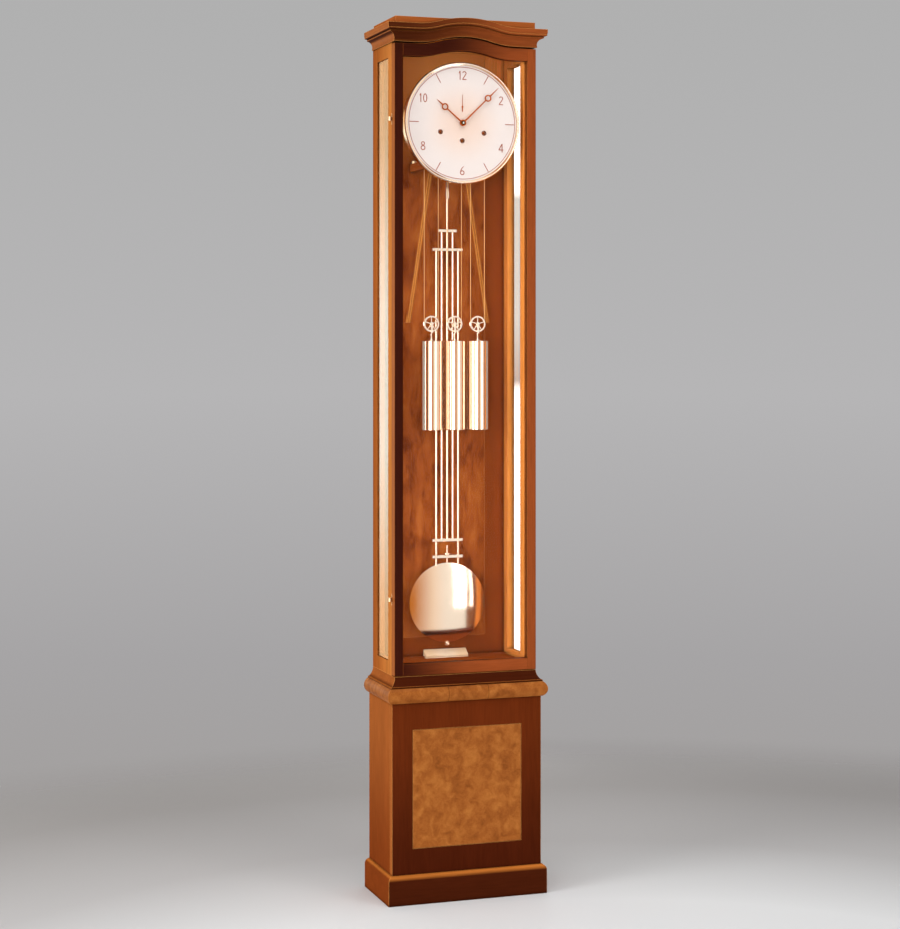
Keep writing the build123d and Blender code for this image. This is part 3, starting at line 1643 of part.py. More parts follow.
with BuildPart() as rating_nut:
    with BuildSketch(Plane.XY.offset(rating_nut_bottom)):
        with Locations((0, depth(pendulum_depth))):
            Circle(rating_nut_radius)
            Circle(threaded_rod_radius + running_clearance, mode=Mode.SUBTRACT)
    extrude(amount=rating_nut_height)
    chamfer(edges().filter_by(GeomType.CIRCLE).group_by(SortBy.RADIUS)[-1], length=rating_nut_chamfer)
save(rating_nut, "rating_nut")

# ---------------------------------------------------------------- weights and pulleys

stirrup_inner = pulley_thickness / 2 + stirrup_gap
stirrup_outer = stirrup_inner + stirrup_plate


def cable_weight(x):
    """Brass cylinder with a turned peak, and the stirrup and axle that carry its pulley."""
    y = depth(weight_depth)
    with BuildPart() as weight:
        with BuildSketch(Plane.XY.offset(weight_top - weight_height)):
            with Locations((x, y)):
                Circle(weight_radius)
        extrude(amount=weight_height)
        chamfer(edges(), length=weight_chamfer)
        with Locations((x, y, weight_top + cap_cone_height / 2)):
            Cone(cap_cone_foot, cap_cone_tip, cap_cone_height)
        with BuildSketch(Plane.XY.offset(weight_top)):
            with Locations((x, y)):
                Circle(cap_cone_tip)
        extrude(amount=yoke_bottom - weight_top)
        with Locations((x, y, cone_top + cap_cone_tip)):
            Sphere(cap_bead_radius)
        with Locations((x, y, (yoke_top + yoke_bottom) / 2)):
            Box(stirrup_width, 2 * stirrup_outer, yoke_top - yoke_bottom)
        for end in (-1, 1):
            cheek_y = y + end * (stirrup_inner + stirrup_outer) / 2
            with Locations((x, cheek_y, (pulley_height + yoke_bottom) / 2)):
                Box(stirrup_width, stirrup_plate, pulley_height - yoke_bottom)
            with BuildSketch(Plane.XZ.offset(-cheek_y - stirrup_plate / 2)):
                with Locations((x, pulley_height)):
                    Circle(stirrup_width / 2)
            extrude(amount=stirrup_plate)
        with BuildSketch(Plane.XZ.offset(-y - stirrup_outer)):
            with Locations((x, pulley_height)):
                Circle(pulley_axle_radius)
        extrude(amount=2 * stirrup_outer)
    return weight


def cable_pulley(x):
    """Grooved rim, spokes and bored hub."""
    y = depth(weight_depth)
    half = pulley_thickness / 2
    groove_radius = pulley_pitch_radius - cable_radius - cable_clearance
    with BuildPart() as pulley:
        with BuildSketch(Plane.XZ.offset(-y - half)):
            with Locations((x, pulley_height)):
                Circle(pulley_flange_radius)
                Circle(pulley_flange_radius - pulley_rim, mode=Mode.SUBTRACT)
        extrude(amount=pulley_thickness)
        with BuildSketch(Plane.XZ.offset(-y - half / 2)):
            with Locations((x, pulley_height)):
                with PolarLocations(0, pulley_spokes, start_angle=90):
                    with Locations((pulley_pitch_radius / 2, 0)):
                        Rectangle(pulley_pitch_radius - cable_radius, pulley_spoke_width)
        extrude(amount=half)
        with BuildSketch(Plane.XZ.offset(-y - half)):
            with Locations((x, pulley_height)):
                Circle(pulley_hub_radius)
        extrude(amount=pulley_thickness)
        with BuildSketch(Plane.XZ.offset(-y - half)):
            with Locations((x, pulley_height)):
                Circle(pulley_axle_radius + running_clearance)
        extrude(amount=pulley_thickness, mode=Mode.SUBTRACT)
        with BuildSketch(across(x)):
            with BuildLine():
                Polyline(
                    (y - groove_width / 2, pulley_height + pulley_flange_radius),
                    (y - cable_radius - cable_clearance, pulley_height + groove_radius),
                    (y + cable_radius + cable_clearance, pulley_height + groove_radius),
                    (y + groove_width / 2, pulley_height + pulley_flange_radius),
                    close=True,
                )
            make_face()
        revolve(axis=Axis((x, 0, pulley_height), (0, 1, 0)), mode=Mode.SUBTRACT)
    return pulley


weight_left = cable_weight(-side_weight_offset)
save(weight_left, "weight_left")
weight_centre = cable_weight(0)
save(weight_centre, "weight_centre")
weight_right = cable_weight(side_weight_offset)
save(weight_right, "weight_right")
pulley_left = cable_pulley(-side_weight_offset)
save(pulley_left, "pulley_left")
pulley_centre = cable_pulley(0)
save(pulley_centre, "pulley_centre")
pulley_right = cable_pulley(side_weight_offset)
save(pulley_right, "pulley_right")


def tangent_place(start_x, start_z, centre_x, centre_z, radius, side):
    """Where a line from the start touches the circle, on the outer side of it."""
    away_x = start_x - centre_x
    away_z = start_z - centre_z
    reach_squared = away_x**2 + away_z**2
    along = radius**2 / reach_squared
    square = side * radius * (reach_squared - radius**2) ** 0.5 / reach_squared
    return (centre_x + along * away_x - square * away_z, centre_z + along * away_z + square * away_x)


cable_floor = seat_top + glue_line
cable_runs = (
    (-1, -side_weight_offset, -side_winding_offset, side_winding_height),
    (-1, 0, 0, centre_winding_height),
    (1, side_weight_offset, side_winding_offset, side_winding_height),
)

with BuildPart() as weight_cables:
    cable_plane = facing(weight_depth)
    for side, x, drum_x, drum_height in cable_runs:
        inner_x = x - side * pulley_pitch_radius
        outer_x = x + side * pulley_pitch_radius
        bend = (x, pulley_height - pulley_pitch_radius)
        leave = tangent_place(outer_x, cable_floor, drum_x, drum_height, drum_pitch_radius, side)
        with BuildLine(cable_plane) as run:
            Line((inner_x, seat_top + ferrule_length), (inner_x, pulley_height))
            ThreePointArc((inner_x, pulley_height), bend, (outer_x, pulley_height))
            Line((outer_x, pulley_height), (outer_x, cable_floor))
            Line((outer_x, cable_floor), leave)
        with BuildSketch(Plane.XY.offset(seat_top + ferrule_length)):
            with Locations((inner_x, depth(weight_depth))):
                Circle(cable_radius)
        sweep(path=run.wires()[0], transition=Transition.RIGHT)
save(weight_cables, "weight_cables")
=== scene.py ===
"""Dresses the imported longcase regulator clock: a finish for every part, twisted cables and a studio stage."""

import math

import bmesh
import bpy
from bpy.props import FloatProperty, FloatVectorProperty, IntProperty, PointerProperty, StringProperty
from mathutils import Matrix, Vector


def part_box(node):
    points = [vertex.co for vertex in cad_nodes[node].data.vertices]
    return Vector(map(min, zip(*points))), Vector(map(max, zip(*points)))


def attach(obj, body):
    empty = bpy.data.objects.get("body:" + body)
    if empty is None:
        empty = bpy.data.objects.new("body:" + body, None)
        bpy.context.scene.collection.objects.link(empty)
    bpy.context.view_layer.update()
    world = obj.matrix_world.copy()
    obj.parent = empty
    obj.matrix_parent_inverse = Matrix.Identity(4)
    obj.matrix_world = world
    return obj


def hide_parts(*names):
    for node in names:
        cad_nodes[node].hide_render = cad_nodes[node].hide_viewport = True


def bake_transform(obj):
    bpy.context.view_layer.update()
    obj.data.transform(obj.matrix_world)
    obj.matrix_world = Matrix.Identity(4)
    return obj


bl_info = {
    "name": "Longcase Regulator Clock",
    "version": (1, 0, 0),
    "blender": (4, 5, 0),
    "location": "3D View > Sidebar > Clock",
    "description": "Finishes, cables and stage for a glazed longcase regulator",
    "category": "Object",
}

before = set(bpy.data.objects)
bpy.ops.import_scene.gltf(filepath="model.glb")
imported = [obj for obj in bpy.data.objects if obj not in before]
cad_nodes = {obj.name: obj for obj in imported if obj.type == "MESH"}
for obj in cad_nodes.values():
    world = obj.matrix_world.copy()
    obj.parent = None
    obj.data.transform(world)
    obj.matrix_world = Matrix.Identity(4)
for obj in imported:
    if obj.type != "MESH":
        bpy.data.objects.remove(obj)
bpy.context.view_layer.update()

MM = 0.001
SIDES = ("left", "centre", "right")

# Sizes of what the eye sees in each surface.
GRAIN_STRETCH = 14  # a streak of grain is this many times as long as wide
BROAD_FIGURE = 12  # growth rings in one broad stripe
PORE = 0.9 * MM  # coarser than a real pore, so that it shows
CREASE_SHADE_REACH = 9 * MM  # how far from a hollow corner the painted shade reaches
SEAM = 0.9 * MM  # half a seam's width, wider than a real one, so that it shows
WIPE_MARK = 20 * MM
ORANGE_PEEL = 2.0 * MM  # waves in sprayed lacquer
INK_FILM = 3.0 * MM
LACQUER_IOR = 1.5
SATIN_SHEEN = 0.015  # specular level of the lacquer on door and cornice

# How the cables are drawn.
CABLE_STEP = 1.2 * MM
POINTS_PER_STRAND = 3
LOBE = 0.1  # how far a strand's crown rises over the mean, of the cable's radius


# ---------------------------------------------------------------- small tools


def linear(hex_colour, alpha=1.0):
    """Turn an sRGB hex colour into the linear one that a shader takes."""
    channels = (int(hex_colour[i : i + 2], 16) / 255 for i in (1, 3, 5))
    return tuple(c / 12.92 if c <= 0.04045 else ((c + 0.055) / 1.055) ** 2.4 for c in channels) + (alpha,)


def add_node(tree, kind, inputs=None, stops=None, **settings):
    """Add one shader node with its settings, its socket values or links, and the stops of a ramp.

    A stop's colour is an sRGB hex colour, a linear (red, green, blue) or one grey value.
    """
    node = tree.nodes.new(kind)
    for name, value in settings.items():
        setattr(node, name, value)
    if stops:
        ramp = node.color_ramp.elements
        while len(ramp) < len(stops):
            ramp.new(0.5)
        for element, (position, colour) in zip(ramp, stops):
            element.position = position
            if isinstance(colour, str):
                element.color = linear(colour)
            else:
                element.color = (*colour, 1) if isinstance(colour, tuple) else (colour, colour, colour, 1)
    for socket, value in (inputs or {}).items():
        if isinstance(value, bpy.types.NodeSocket):
            tree.links.new(value, node.inputs[socket])
        else:
            node.inputs[socket].default_value = value
    return node


def new_material(name):
    """An empty node material with its output."""
    material = bpy.data.materials.new(name)
    material.use_nodes = True
    tree = material.node_tree
    tree.nodes.clear()
    output = tree.nodes.new("ShaderNodeOutputMaterial")
    return material, tree, output


def paint(material, *names):
    """Give CAD nodes a finish in place of the plain one that they come with."""
    for name in names:
        mesh = cad_nodes[name].data
        mesh.materials.clear()
        mesh.materials.append(material)


def centre_of(node):
    """Middle of a CAD node's box."""
    low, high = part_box(node)
    return (low + high) / 2


def mesh_object(name, mesh, material, smooth=True):
    """A new object from a finished mesh."""
    thing = bpy.data.objects.new(name, mesh)
    bpy.context.scene.collection.objects.link(thing)
    mesh.materials.append(material)
    if smooth:
        mesh.shade_smooth()
    return thing


def tube_rings(name, path, section, material):
    """Skin a closed cross-section along a path.

    section(i) gives the ring's (across, up) points at path point i.
    """
    mesh = bpy.data.meshes.new(name)
    build = bmesh.new()
    rings = []
    normal = None
    for i, point in enumerate(path):
        before = path[max(i - 1, 0)]
        after = path[min(i + 1, len(path) - 1)]
        along = (after - before).normalized()
        if normal is None:
            normal = along.orthogonal().normalized()
        else:
            normal = (normal - along * normal.dot(along)).normalized()
        binormal = along.cross(normal)
        rings.append([build.verts.new(point + normal * a + binormal * b) for a, b in section(i)])
    for low, high in zip(rings, rings[1:]):
        count = len(low)
        for k in range(count):
            build.faces.new((low[k], low[(k + 1) % count], high[(k + 1) % count], high[k]))
    build.faces.new(list(reversed(rings[0])))
    build.faces.new(rings[-1])
    bmesh.ops.recalc_face_normals(build, faces=build.faces)
    build.to_mesh(mesh)
    build.free()
    return mesh_object(name, mesh, material)


# ---------------------------------------------------------------- settings


class WoodSettings(bpy.types.PropertyGroup):
    """Colours and grain of the case, with the light and shade painted into them."""

    # Door tones: painted light and shade, dark at the left edge and lighter at the right one.
    front_left: StringProperty(
        name="Door left", description="Hex colour of the door's left edge", default="#3E170C"
    )
    front_right: StringProperty(
        name="Door right", description="Hex colour of the door's right edge", default="#9E4D24"
    )
    base_low: StringProperty(
        name="Base foot", description="Hex colour of the base front's foot", default="#4C1C0B"
    )
    base_high: StringProperty(
        name="Base head", description="Hex colour of the base front's head", default="#6E2E11"
    )
    # Cornice tones: painted light and shade from its left end to its right one.
    cornice_left: StringProperty(
        name="Cornice left", description="Hex colour of the cornice's left end", default="#4E210C"
    )
    cornice_right: StringProperty(
        name="Cornice right", description="Hex colour of the cornice's right end", default="#9C4E24"
    )
    moulding: StringProperty(name="Mouldings", description="Hex colour of plinth and cove", default="#4A1D0C")
    # Painted side light: the tone of faces turned to the side.
    flank: StringProperty(
        name="Flanks", description="Hex colour of faces turned to the side", default="#A95E2C"
    )
    # Trunk sides: painted side light, lighter at the front than at the rear.
    flank_rear: StringProperty(
        name="Flank rear", description="Hex colour of the trunk sides' rear", default="#A85A26"
    )
    flank_front: StringProperty(
        name="Flank front", description="Hex colour of the trunk sides' front", default="#CC7D3B"
    )
    # A darker tone of the painted side light, for the base sides' foot and the plinth's sides.
    flank_low: StringProperty(
        name="Flank foot", description="Hex colour of the base sides' foot", default="#853E18"
    )
    # Right trunk side: painted lighter, as if lit, where it shows from inside.
    flank_inner: StringProperty(
        name="Right side", description="Hex colour of the right trunk side", default="#E08F45"
    )
    back: StringProperty(
        name="Back boards", description="Hex colour of the back frame and floor", default="#884217"
    )
    # Colours of the painted highlights along sharp edges.
    edge: StringProperty(name="Rubbed edges", description="Hex colour of rubbed edges", default="#D98B4C")
    edge_bright: StringProperty(
        name="Bright edges", description="Hex colour of the mouldings' edges", default="#F0A558"
    )
    edge_dark: StringProperty(
        name="Door edges", description="Hex colour of the door's edges", default="#8A4418"
    )
    # Painted highlight: the tone of faces turned up.
    upper: StringProperty(name="Upper faces", description="Hex colour of faces turned up", default="#C4722F")
    # Painted light: the lighter tone of the back's head.
    back_lit_head: StringProperty(
        name="Back head", description="Hex colour of the back's head", default="#F09A4C"
    )
    back_head: FloatProperty(
        name="Back head's foot", description="Where the lighter head starts, of its height", default=0.82
    )
    deep_dark: StringProperty(
        name="Back burl eyes", description="Hex colour of the back burl's eyes", default="#6A2D0B"
    )
    deep_middle: StringProperty(
        name="Back burl body", description="Hex colour of most of the back burl", default="#9A4E1B"
    )
    deep_light: StringProperty(
        name="Back burl light", description="Hex colour of the lightest back burl", default="#B26528"
    )
    seam_share: FloatProperty(
        name="Seam place", description="Seam's distance from the middle, of the width", default=0.14
    )
    burl_dark: StringProperty(
        name="Burl eyes", description="Hex colour of the darkest burl", default="#8A4A1C"
    )
    burl_middle: StringProperty(
        name="Burl body", description="Hex colour of most of the burl", default="#A65E27"
    )
    burl_light: StringProperty(
        name="Burl light", description="Hex colour of the lightest burl", default="#BB7233"
    )
    ring_spacing: FloatProperty(
        name="Ring spacing", description="Distance between growth rings", default=3.5 * MM, unit="LENGTH"
    )
    burl_size: FloatProperty(
        name="Burl size", description="Size of a burl swirl", default=26 * MM, unit="LENGTH"
    )
    edge_width: FloatProperty(
        name="Edge width", description="Width of a rubbed edge", default=2.0 * MM, unit="LENGTH"
    )


class GlassSettings(bpy.types.PropertyGroup):
    """Tints and indices of refraction of the panes."""

    tint: StringProperty(name="Tint", description="Hex colour of the glass", default="#FBFAF7")
    shade: StringProperty(name="Shade", description="Hex colour of the shadow it casts", default="#F6F4F0")
    coated: FloatProperty(
        name="Coated pane", description="Index of refraction of a coated pane", default=1.12
    )
    plain: FloatProperty(name="Plain pane", description="Index of refraction of plain glass", default=1.5)


class DialSettings(bpy.types.PropertyGroup):
    """Colours of the dial and of the beat scale."""

    middle: StringProperty(
        name="Dial middle", description="Hex colour of the dial's middle", default="#D0BEB7"
    )
    rim: StringProperty(name="Dial rim", description="Hex colour of the dial's rim", default="#CFCBCF")
    ink: StringProperty(name="Ink", description="Hex colour of numerals and strokes", default="#8A3400")
    eyelets: StringProperty(
        name="Eyelets", description="Hex colour of the winding eyelets", default="#6E2E0C"
    )
    scale_middle: StringProperty(
        name="Scale middle", description="Hex colour of the beat scale's middle", default="#F4E4CE"
    )
    scale_end: StringProperty(
        name="Scale ends", description="Hex colour of the scale's ends", default="#E9CFAE"
    )


class MetalSettings(bpy.types.PropertyGroup):
    """Colours of the metals."""

    brass: StringProperty(name="Brass", description="Hex colour of the polished brass", default="#FBE6D2")
    satin: StringProperty(
        name="Satin brass", description="Hex colour of the brushed brass", default="#F6D9AE"
    )
    hands: StringProperty(name="Hands", description="Hex colour of the bronzed hands", default="#A84E0C")
    drums: StringProperty(name="Drums", description="Hex colour of the bronzed drums", default="#8A4616")
    gong: StringProperty(name="Gong", description="Hex colour of the drawn bronze", default="#BC7C3A")
    bronze: StringProperty(name="Cable", description="Hex colour of the cable", default="#F0C080")
    steel: StringProperty(name="Steel", description="Hex colour of the polished steel", default="#B9B6B0")
    black: StringProperty(
        name="Black steel", description="Hex colour of the blackened steel", default="#14100F"
    )


class CableSettings(bpy.types.PropertyGroup):
    """Sizes of the cables and of their turns."""

    strands: IntProperty(name="Strands", description="Strands twisted into one cable", default=6, min=3)
    lay: FloatProperty(name="Lay", description="Length of one full twist", default=9 * MM, unit="LENGTH")
    wraps: IntProperty(name="Wraps", description="Turns of cable left on each drum", default=6, min=1)
    wrap_pitch: FloatProperty(
        name="Wrap pitch", description="Distance between turns", default=1.8 * MM, unit="LENGTH"
    )
    groove: FloatProperty(
        name="Groove", description="Pulley's radius to the cable", default=17 * MM, unit="LENGTH"
    )
    barrel: FloatProperty(
        name="Barrel", description="Drum's radius to the cable", default=20.9 * MM, unit="LENGTH"
    )
    tail: FloatProperty(
        name="Tail", description="Cable's length above the seat", default=5 * MM, unit="LENGTH"
    )


class StageSettings(bpy.types.PropertyGroup):
    """Camera, floor, backdrop and the room that the brass mirrors."""

    lens: FloatProperty(name="Lens", description="Focal length", default=80.46, unit="CAMERA")
    yaw: FloatProperty(
        name="Yaw", description="Turn of the view", default=math.radians(18.78), subtype="ANGLE"
    )
    shift: FloatProperty(name="Shift", description="Vertical lens shift", default=-0.1325)
    position: FloatVectorProperty(
        name="Camera place",
        description="Where the camera stands",
        default=(-1.556, -4.5366, 1.2665),
        subtype="XYZ",
    )
    floor: StringProperty(name="Floor", description="Hex colour of the floor", default="#F3F4F5")
    floor_middle: StringProperty(
        name="Floor middle", description="Hex colour of the floor half way out", default="#C8C6C6"
    )
    floor_edge: StringProperty(
        name="Floor edge", description="Hex colour of the floor far out", default="#AFACAB"
    )
    # Middle of the pool of light painted on the floor.
    pool: FloatVectorProperty(
        name="Pool", description="Middle of the floor's lighter part", default=(0.0, -1.14, 0), subtype="XYZ"
    )
    floor_near: FloatProperty(
        name="Floor near", description="Where the floor starts to darken", default=1.0, unit="LENGTH"
    )
    floor_far: FloatProperty(
        name="Floor far", description="Where the floor meets the backdrop", default=2.2, unit="LENGTH"
    )
    floor_end: FloatProperty(
        name="Floor end", description="Where the floor has faded away", default=3.0, unit="LENGTH"
    )
    backdrop_top: StringProperty(
        name="Backdrop head", description="Hex colour of the backdrop's head", default="#B0B0B0"
    )
    backdrop: StringProperty(name="Backdrop", description="Hex colour of the backdrop", default="#B6B5B6")
    backdrop_middle: StringProperty(
        name="Backdrop middle", description="Hex colour of the backdrop lower down", default="#A6A4A5"
    )
    backdrop_low: StringProperty(
        name="Backdrop foot", description="Hex colour of the backdrop's foot", default="#A3A09F"
    )
    air: FloatProperty(name="Air", description="Strength of the plain light from all round", default=0.3)
    room_warm: StringProperty(
        name="Room left", description="Hex colour of the panelled room", default="#C4761A"
    )
    room_pale: StringProperty(
        name="Room middle", description="Hex colour of the fold in the room's curtain", default="#FFF0E4"
    )
    room_white: StringProperty(
        name="Room curtain", description="Hex colour of the room's curtain", default="#FFFFFF"
    )
    room_dark: StringProperty(
        name="Room right", description="Hex colour of the room's far side", default="#8E5226"
    )


# ---------------------------------------------------------------- finishes


def grain_coordinates(tree, along, figure):
    """Object coordinates in figure-sized units, drawn out along the grain axis."""
    place = add_node(tree, "ShaderNodeTexCoord")
    scale = [1 / figure] * 3
    scale["XYZ".index(along)] = 1 / (GRAIN_STRETCH * figure)
    return add_node(tree, "ShaderNodeMapping", {"Vector": place.outputs["Object"], "Scale": scale}).outputs[0]


def mix_colours(tree, factor, first, second, blend="MIX"):
    """Mix two colours or links to colours."""
    return add_node(
        tree,
        "ShaderNodeMix",
        {"Factor": factor, "A": first, "B": second},
        data_type="RGBA",
        blend_type=blend,
    ).outputs[2]


def highlit_edges(tree, wood, colour, edge_tone):
    """Paint highlights on the sharp edges, and paint shade into the hollow corners.

    Gives the colour, and the normal that rounds the edges.
    """
    rounded = add_node(tree, "ShaderNodeBevel", {"Radius": wood.edge_width}, samples=6)
    flat = add_node(tree, "ShaderNodeNewGeometry")
    bend = add_node(
        tree,
        "ShaderNodeVectorMath",
        {0: rounded.outputs[0], 1: flat.outputs["Normal"]},
        operation="DOT_PRODUCT",
    )
    edge = add_node(
        tree, "ShaderNodeMapRange", {"Value": bend.outputs["Value"], "From Min": 0.98, "From Max": 0.82}
    )
    open_air = add_node(tree, "ShaderNodeAmbientOcclusion", {"Distance": CREASE_SHADE_REACH}, samples=6)
    crease = add_node(
        tree, "ShaderNodeMapRange", {"Value": open_air.outputs["AO"], "From Min": 0.4, "From Max": 0.95}
    )
    # Painted highlight along sharp edges, kept out of the hollows.
    highlit = add_node(
        tree, "ShaderNodeMath", {0: edge.outputs[0], 1: crease.outputs[0]}, operation="MULTIPLY"
    )
    # Painted shade: hollow corners and creases are darkened.
    crease_shade = add_node(
        tree, "ShaderNodeMapRange", {"Value": crease.outputs[0], "To Min": 0.3, "To Max": 1.0}
    )
    lighter = mix_colours(tree, highlit.outputs[0], colour, linear(edge_tone))
    return mix_colours(tree, 1.0, lighter, crease_shade.outputs[0], "MULTIPLY"), rounded.outputs[0]


def painted_light_body(tree, axis, span, tones, flank, upper, rise):
    """Painted light and shade: colour that runs from one tone to the other, with a painted-light tone of its
    own on faces turned up and on faces turned to the side.
    """
    place = add_node(tree, "ShaderNodeTexCoord")
    parts = add_node(tree, "ShaderNodeSeparateXYZ", {0: place.outputs["Object"]})
    share = add_node(
        tree,
        "ShaderNodeMapRange",
        {"Value": parts.outputs[axis], "From Min": span[0], "From Max": span[1]},
        interpolation_type="SMOOTHSTEP",
    )
    body = mix_colours(tree, share.outputs[0], linear(tones[0]), linear(tones[1]))
    facing = add_node(tree, "ShaderNodeSeparateXYZ", {0: place.outputs["Normal"]})
    # Painted highlight: faces turned up take a lighter tone.
    if upper:
        raised = add_node(
            tree,
            "ShaderNodeMapRange",
            {"Value": facing.outputs["Z"], "From Min": rise[0], "From Max": rise[1]},
        )
        body = mix_colours(tree, raised.outputs[0], body, linear(upper))
    # Painted side light: faces turned to the side take a lighter tone.
    if flank:
        sideways = add_node(tree, "ShaderNodeMath", {0: facing.outputs["X"]}, operation="ABSOLUTE")
        turned = add_node(
            tree, "ShaderNodeMapRange", {"Value": sideways.outputs[0], "From Min": 0.6, "From Max": 0.85}
        )
        body = mix_colours(tree, turned.outputs[0], body, linear(flank))
    return body


def lacquered_cherry(
    name, along, wood, axis, span, tones, flank=None, upper=None, edge=None, sheen=0.0, rise=(0.1, 0.75)
):
    """Cherry, planed and satin lacquered, with light and shade painted into its colour from one end to the
    other.

    It gives straight fine grain, painted highlights on sharp edges, painted shade in hollow corners and hardly
    any sheen. The grain runs along one axis and the painted tones along another. Faces turned to the side or
    upward can have a lighter tone of painted light; rise says from what upward share of the normal it starts
    and where it is full.
    """
    material, tree, output = new_material(name)
    body = painted_light_body(tree, axis, span, tones, flank, upper, rise)
    rings = add_node(
        tree,
        "ShaderNodeTexNoise",
        {
            "Vector": grain_coordinates(tree, along, wood.ring_spacing),
            "Scale": 1.0,
            "Detail": 4.0,
            "Distortion": 0.4,
        },
    )
    broad = add_node(
        tree,
        "ShaderNodeTexNoise",
        {
            "Vector": grain_coordinates(tree, along, BROAD_FIGURE * wood.ring_spacing),
            "Scale": 1.0,
            "Detail": 2.0,
        },
    )
    pores = add_node(
        tree,
        "ShaderNodeTexNoise",
        {"Vector": grain_coordinates(tree, along, PORE), "Scale": 1.0, "Detail": 1.0},
    )
    figure = add_node(
        tree,
        "ShaderNodeMix",
        {"Factor": 0.4, "A": rings.outputs["Fac"], "B": broad.outputs["Fac"]},
        data_type="FLOAT",
    )
    strength = add_node(
        tree,
        "ShaderNodeMapRange",
        {"Value": figure.outputs[0], "From Min": 0.3, "From Max": 0.7, "To Min": 0.8, "To Max": 1.2},
    )
    grained = mix_colours(tree, 1.0, body, strength.outputs[0], "MULTIPLY")
    # Painted highlights on the edges, painted shade in the hollows.
    finished, rounded = highlit_edges(tree, wood, grained, edge or wood.edge)
    roughness = add_node(
        tree, "ShaderNodeMapRange", {"Value": broad.outputs["Fac"], "To Min": 0.36, "To Max": 0.5}
    )
    bump = add_node(
        tree,
        "ShaderNodeBump",
        {"Height": pores.outputs["Fac"], "Strength": 0.15, "Distance": 0.1 * MM, "Normal": rounded},
    )
    shader = add_node(
        tree,
        "ShaderNodeBsdfPrincipled",
        {
            "Base Color": finished,
            "Roughness": roughness.outputs[0],
            "Normal": bump.outputs[0],
            "Specular IOR Level": sheen,
            "IOR": LACQUER_IOR,
        },
    )
    tree.links.new(shader.outputs[0], output.inputs["Surface"])
    return material


def lacquered_burl(name, wood, tones, stretch=1.0, joints=(), head=None):
    """Burl veneer, sanded and lacquered: soft clouds with fine dark eyes, and thin seams where leaves meet.

    stretch draws the clouds out upward, joints are the seams' places across, and head is the span and the
    colour of a lighter head of painted light.
    """
    material, tree, output = new_material(name)
    place = add_node(tree, "ShaderNodeTexCoord")
    size = wood.burl_size
    vector = add_node(
        tree,
        "ShaderNodeMapping",
        {"Vector": place.outputs["Object"], "Scale": (1 / size, 1 / size, 1 / (size * stretch))},
    ).outputs[0]
    clouds = add_node(
        tree,
        "ShaderNodeTexNoise",
        {"Vector": vector, "Scale": 1.1, "Detail": 4.0, "Roughness": 0.55, "Distortion": 0.5},
    )
    curls = add_node(
        tree,
        "ShaderNodeTexNoise",
        {"Vector": vector, "Scale": 6.0, "Detail": 6.0, "Roughness": 0.7, "Distortion": 1.2},
    )
    figure = add_node(
        tree,
        "ShaderNodeMix",
        {"Factor": 0.35, "A": clouds.outputs["Fac"], "B": curls.outputs["Fac"]},
        data_type="FLOAT",
    )
    colour = add_node(
        tree,
        "ShaderNodeValToRGB",
        {"Fac": figure.outputs[0]},
        stops=[(0.36, tones[0]), (0.5, tones[1]), (0.64, tones[2])],
    )
    eyes = add_node(tree, "ShaderNodeTexVoronoi", {"Vector": vector, "Scale": 5.0, "Randomness": 1.0})
    eye_mask = add_node(
        tree, "ShaderNodeValToRGB", {"Fac": eyes.outputs["Distance"]}, stops=[(0.04, 0.7), (0.14, 1.0)]
    )
    body = mix_colours(tree, 0.6, colour.outputs["Color"], eye_mask.outputs["Color"], "MULTIPLY")
    parts = add_node(tree, "ShaderNodeSeparateXYZ", {0: place.outputs["Object"]})
    # Painted light on the head.
    if head:
        raised = add_node(
            tree,
            "ShaderNodeMapRange",
            {"Value": parts.outputs["Z"], "From Min": head[0], "From Max": head[1], "To Max": 0.85},
            interpolation_type="SMOOTHSTEP",
        )
        body = mix_colours(tree, raised.outputs[0], body, linear(head[2]))
    for x in joints:
        seam = add_node(tree, "ShaderNodeMath", {0: parts.outputs["X"], 1: x, 2: SEAM}, operation="COMPARE")
        shadow = add_node(
            tree, "ShaderNodeMapRange", {"Value": seam.outputs[0], "To Min": 1.0, "To Max": 0.55}
        )
        body = mix_colours(tree, 1.0, body, shadow.outputs[0], "MULTIPLY")
    # Painted highlights on the edges, painted shade in the hollows.
    finished, rounded = highlit_edges(tree, wood, body, wood.edge)
    shader = add_node(
        tree,
        "ShaderNodeBsdfPrincipled",
        {
            "Base Color": finished,
            "Roughness": 0.38,
            "Normal": rounded,
            "Specular IOR Level": 0.04,
            "IOR": LACQUER_IOR,
        },
    )
    tree.links.new(shader.outputs[0], output.inputs["Surface"])
    return material


def float_glass(name, settings, ior):
    """Float glass, ground and polished: clear, and it lets light through.

    A pane with an anti-reflection coating mirrors less, which a low index of refraction stands for.
    """
    material, tree, output = new_material(name)
    shader = add_node(
        tree,
        "ShaderNodeBsdfPrincipled",
        {"Base Color": linear(settings.tint), "Roughness": 0.0, "Transmission Weight": 1.0, "IOR": ior},
    )
    clear = add_node(tree, "ShaderNodeBsdfTransparent", {"Color": linear(settings.shade)})
    path = add_node(tree, "ShaderNodeLightPath")
    mix = add_node(
        tree,
        "ShaderNodeMixShader",
        {"Fac": path.outputs["Is Shadow Ray"], 1: shader.outputs[0], 2: clear.outputs[0]},
    )
    tree.links.new(mix.outputs[0], output.inputs["Surface"])
    return material


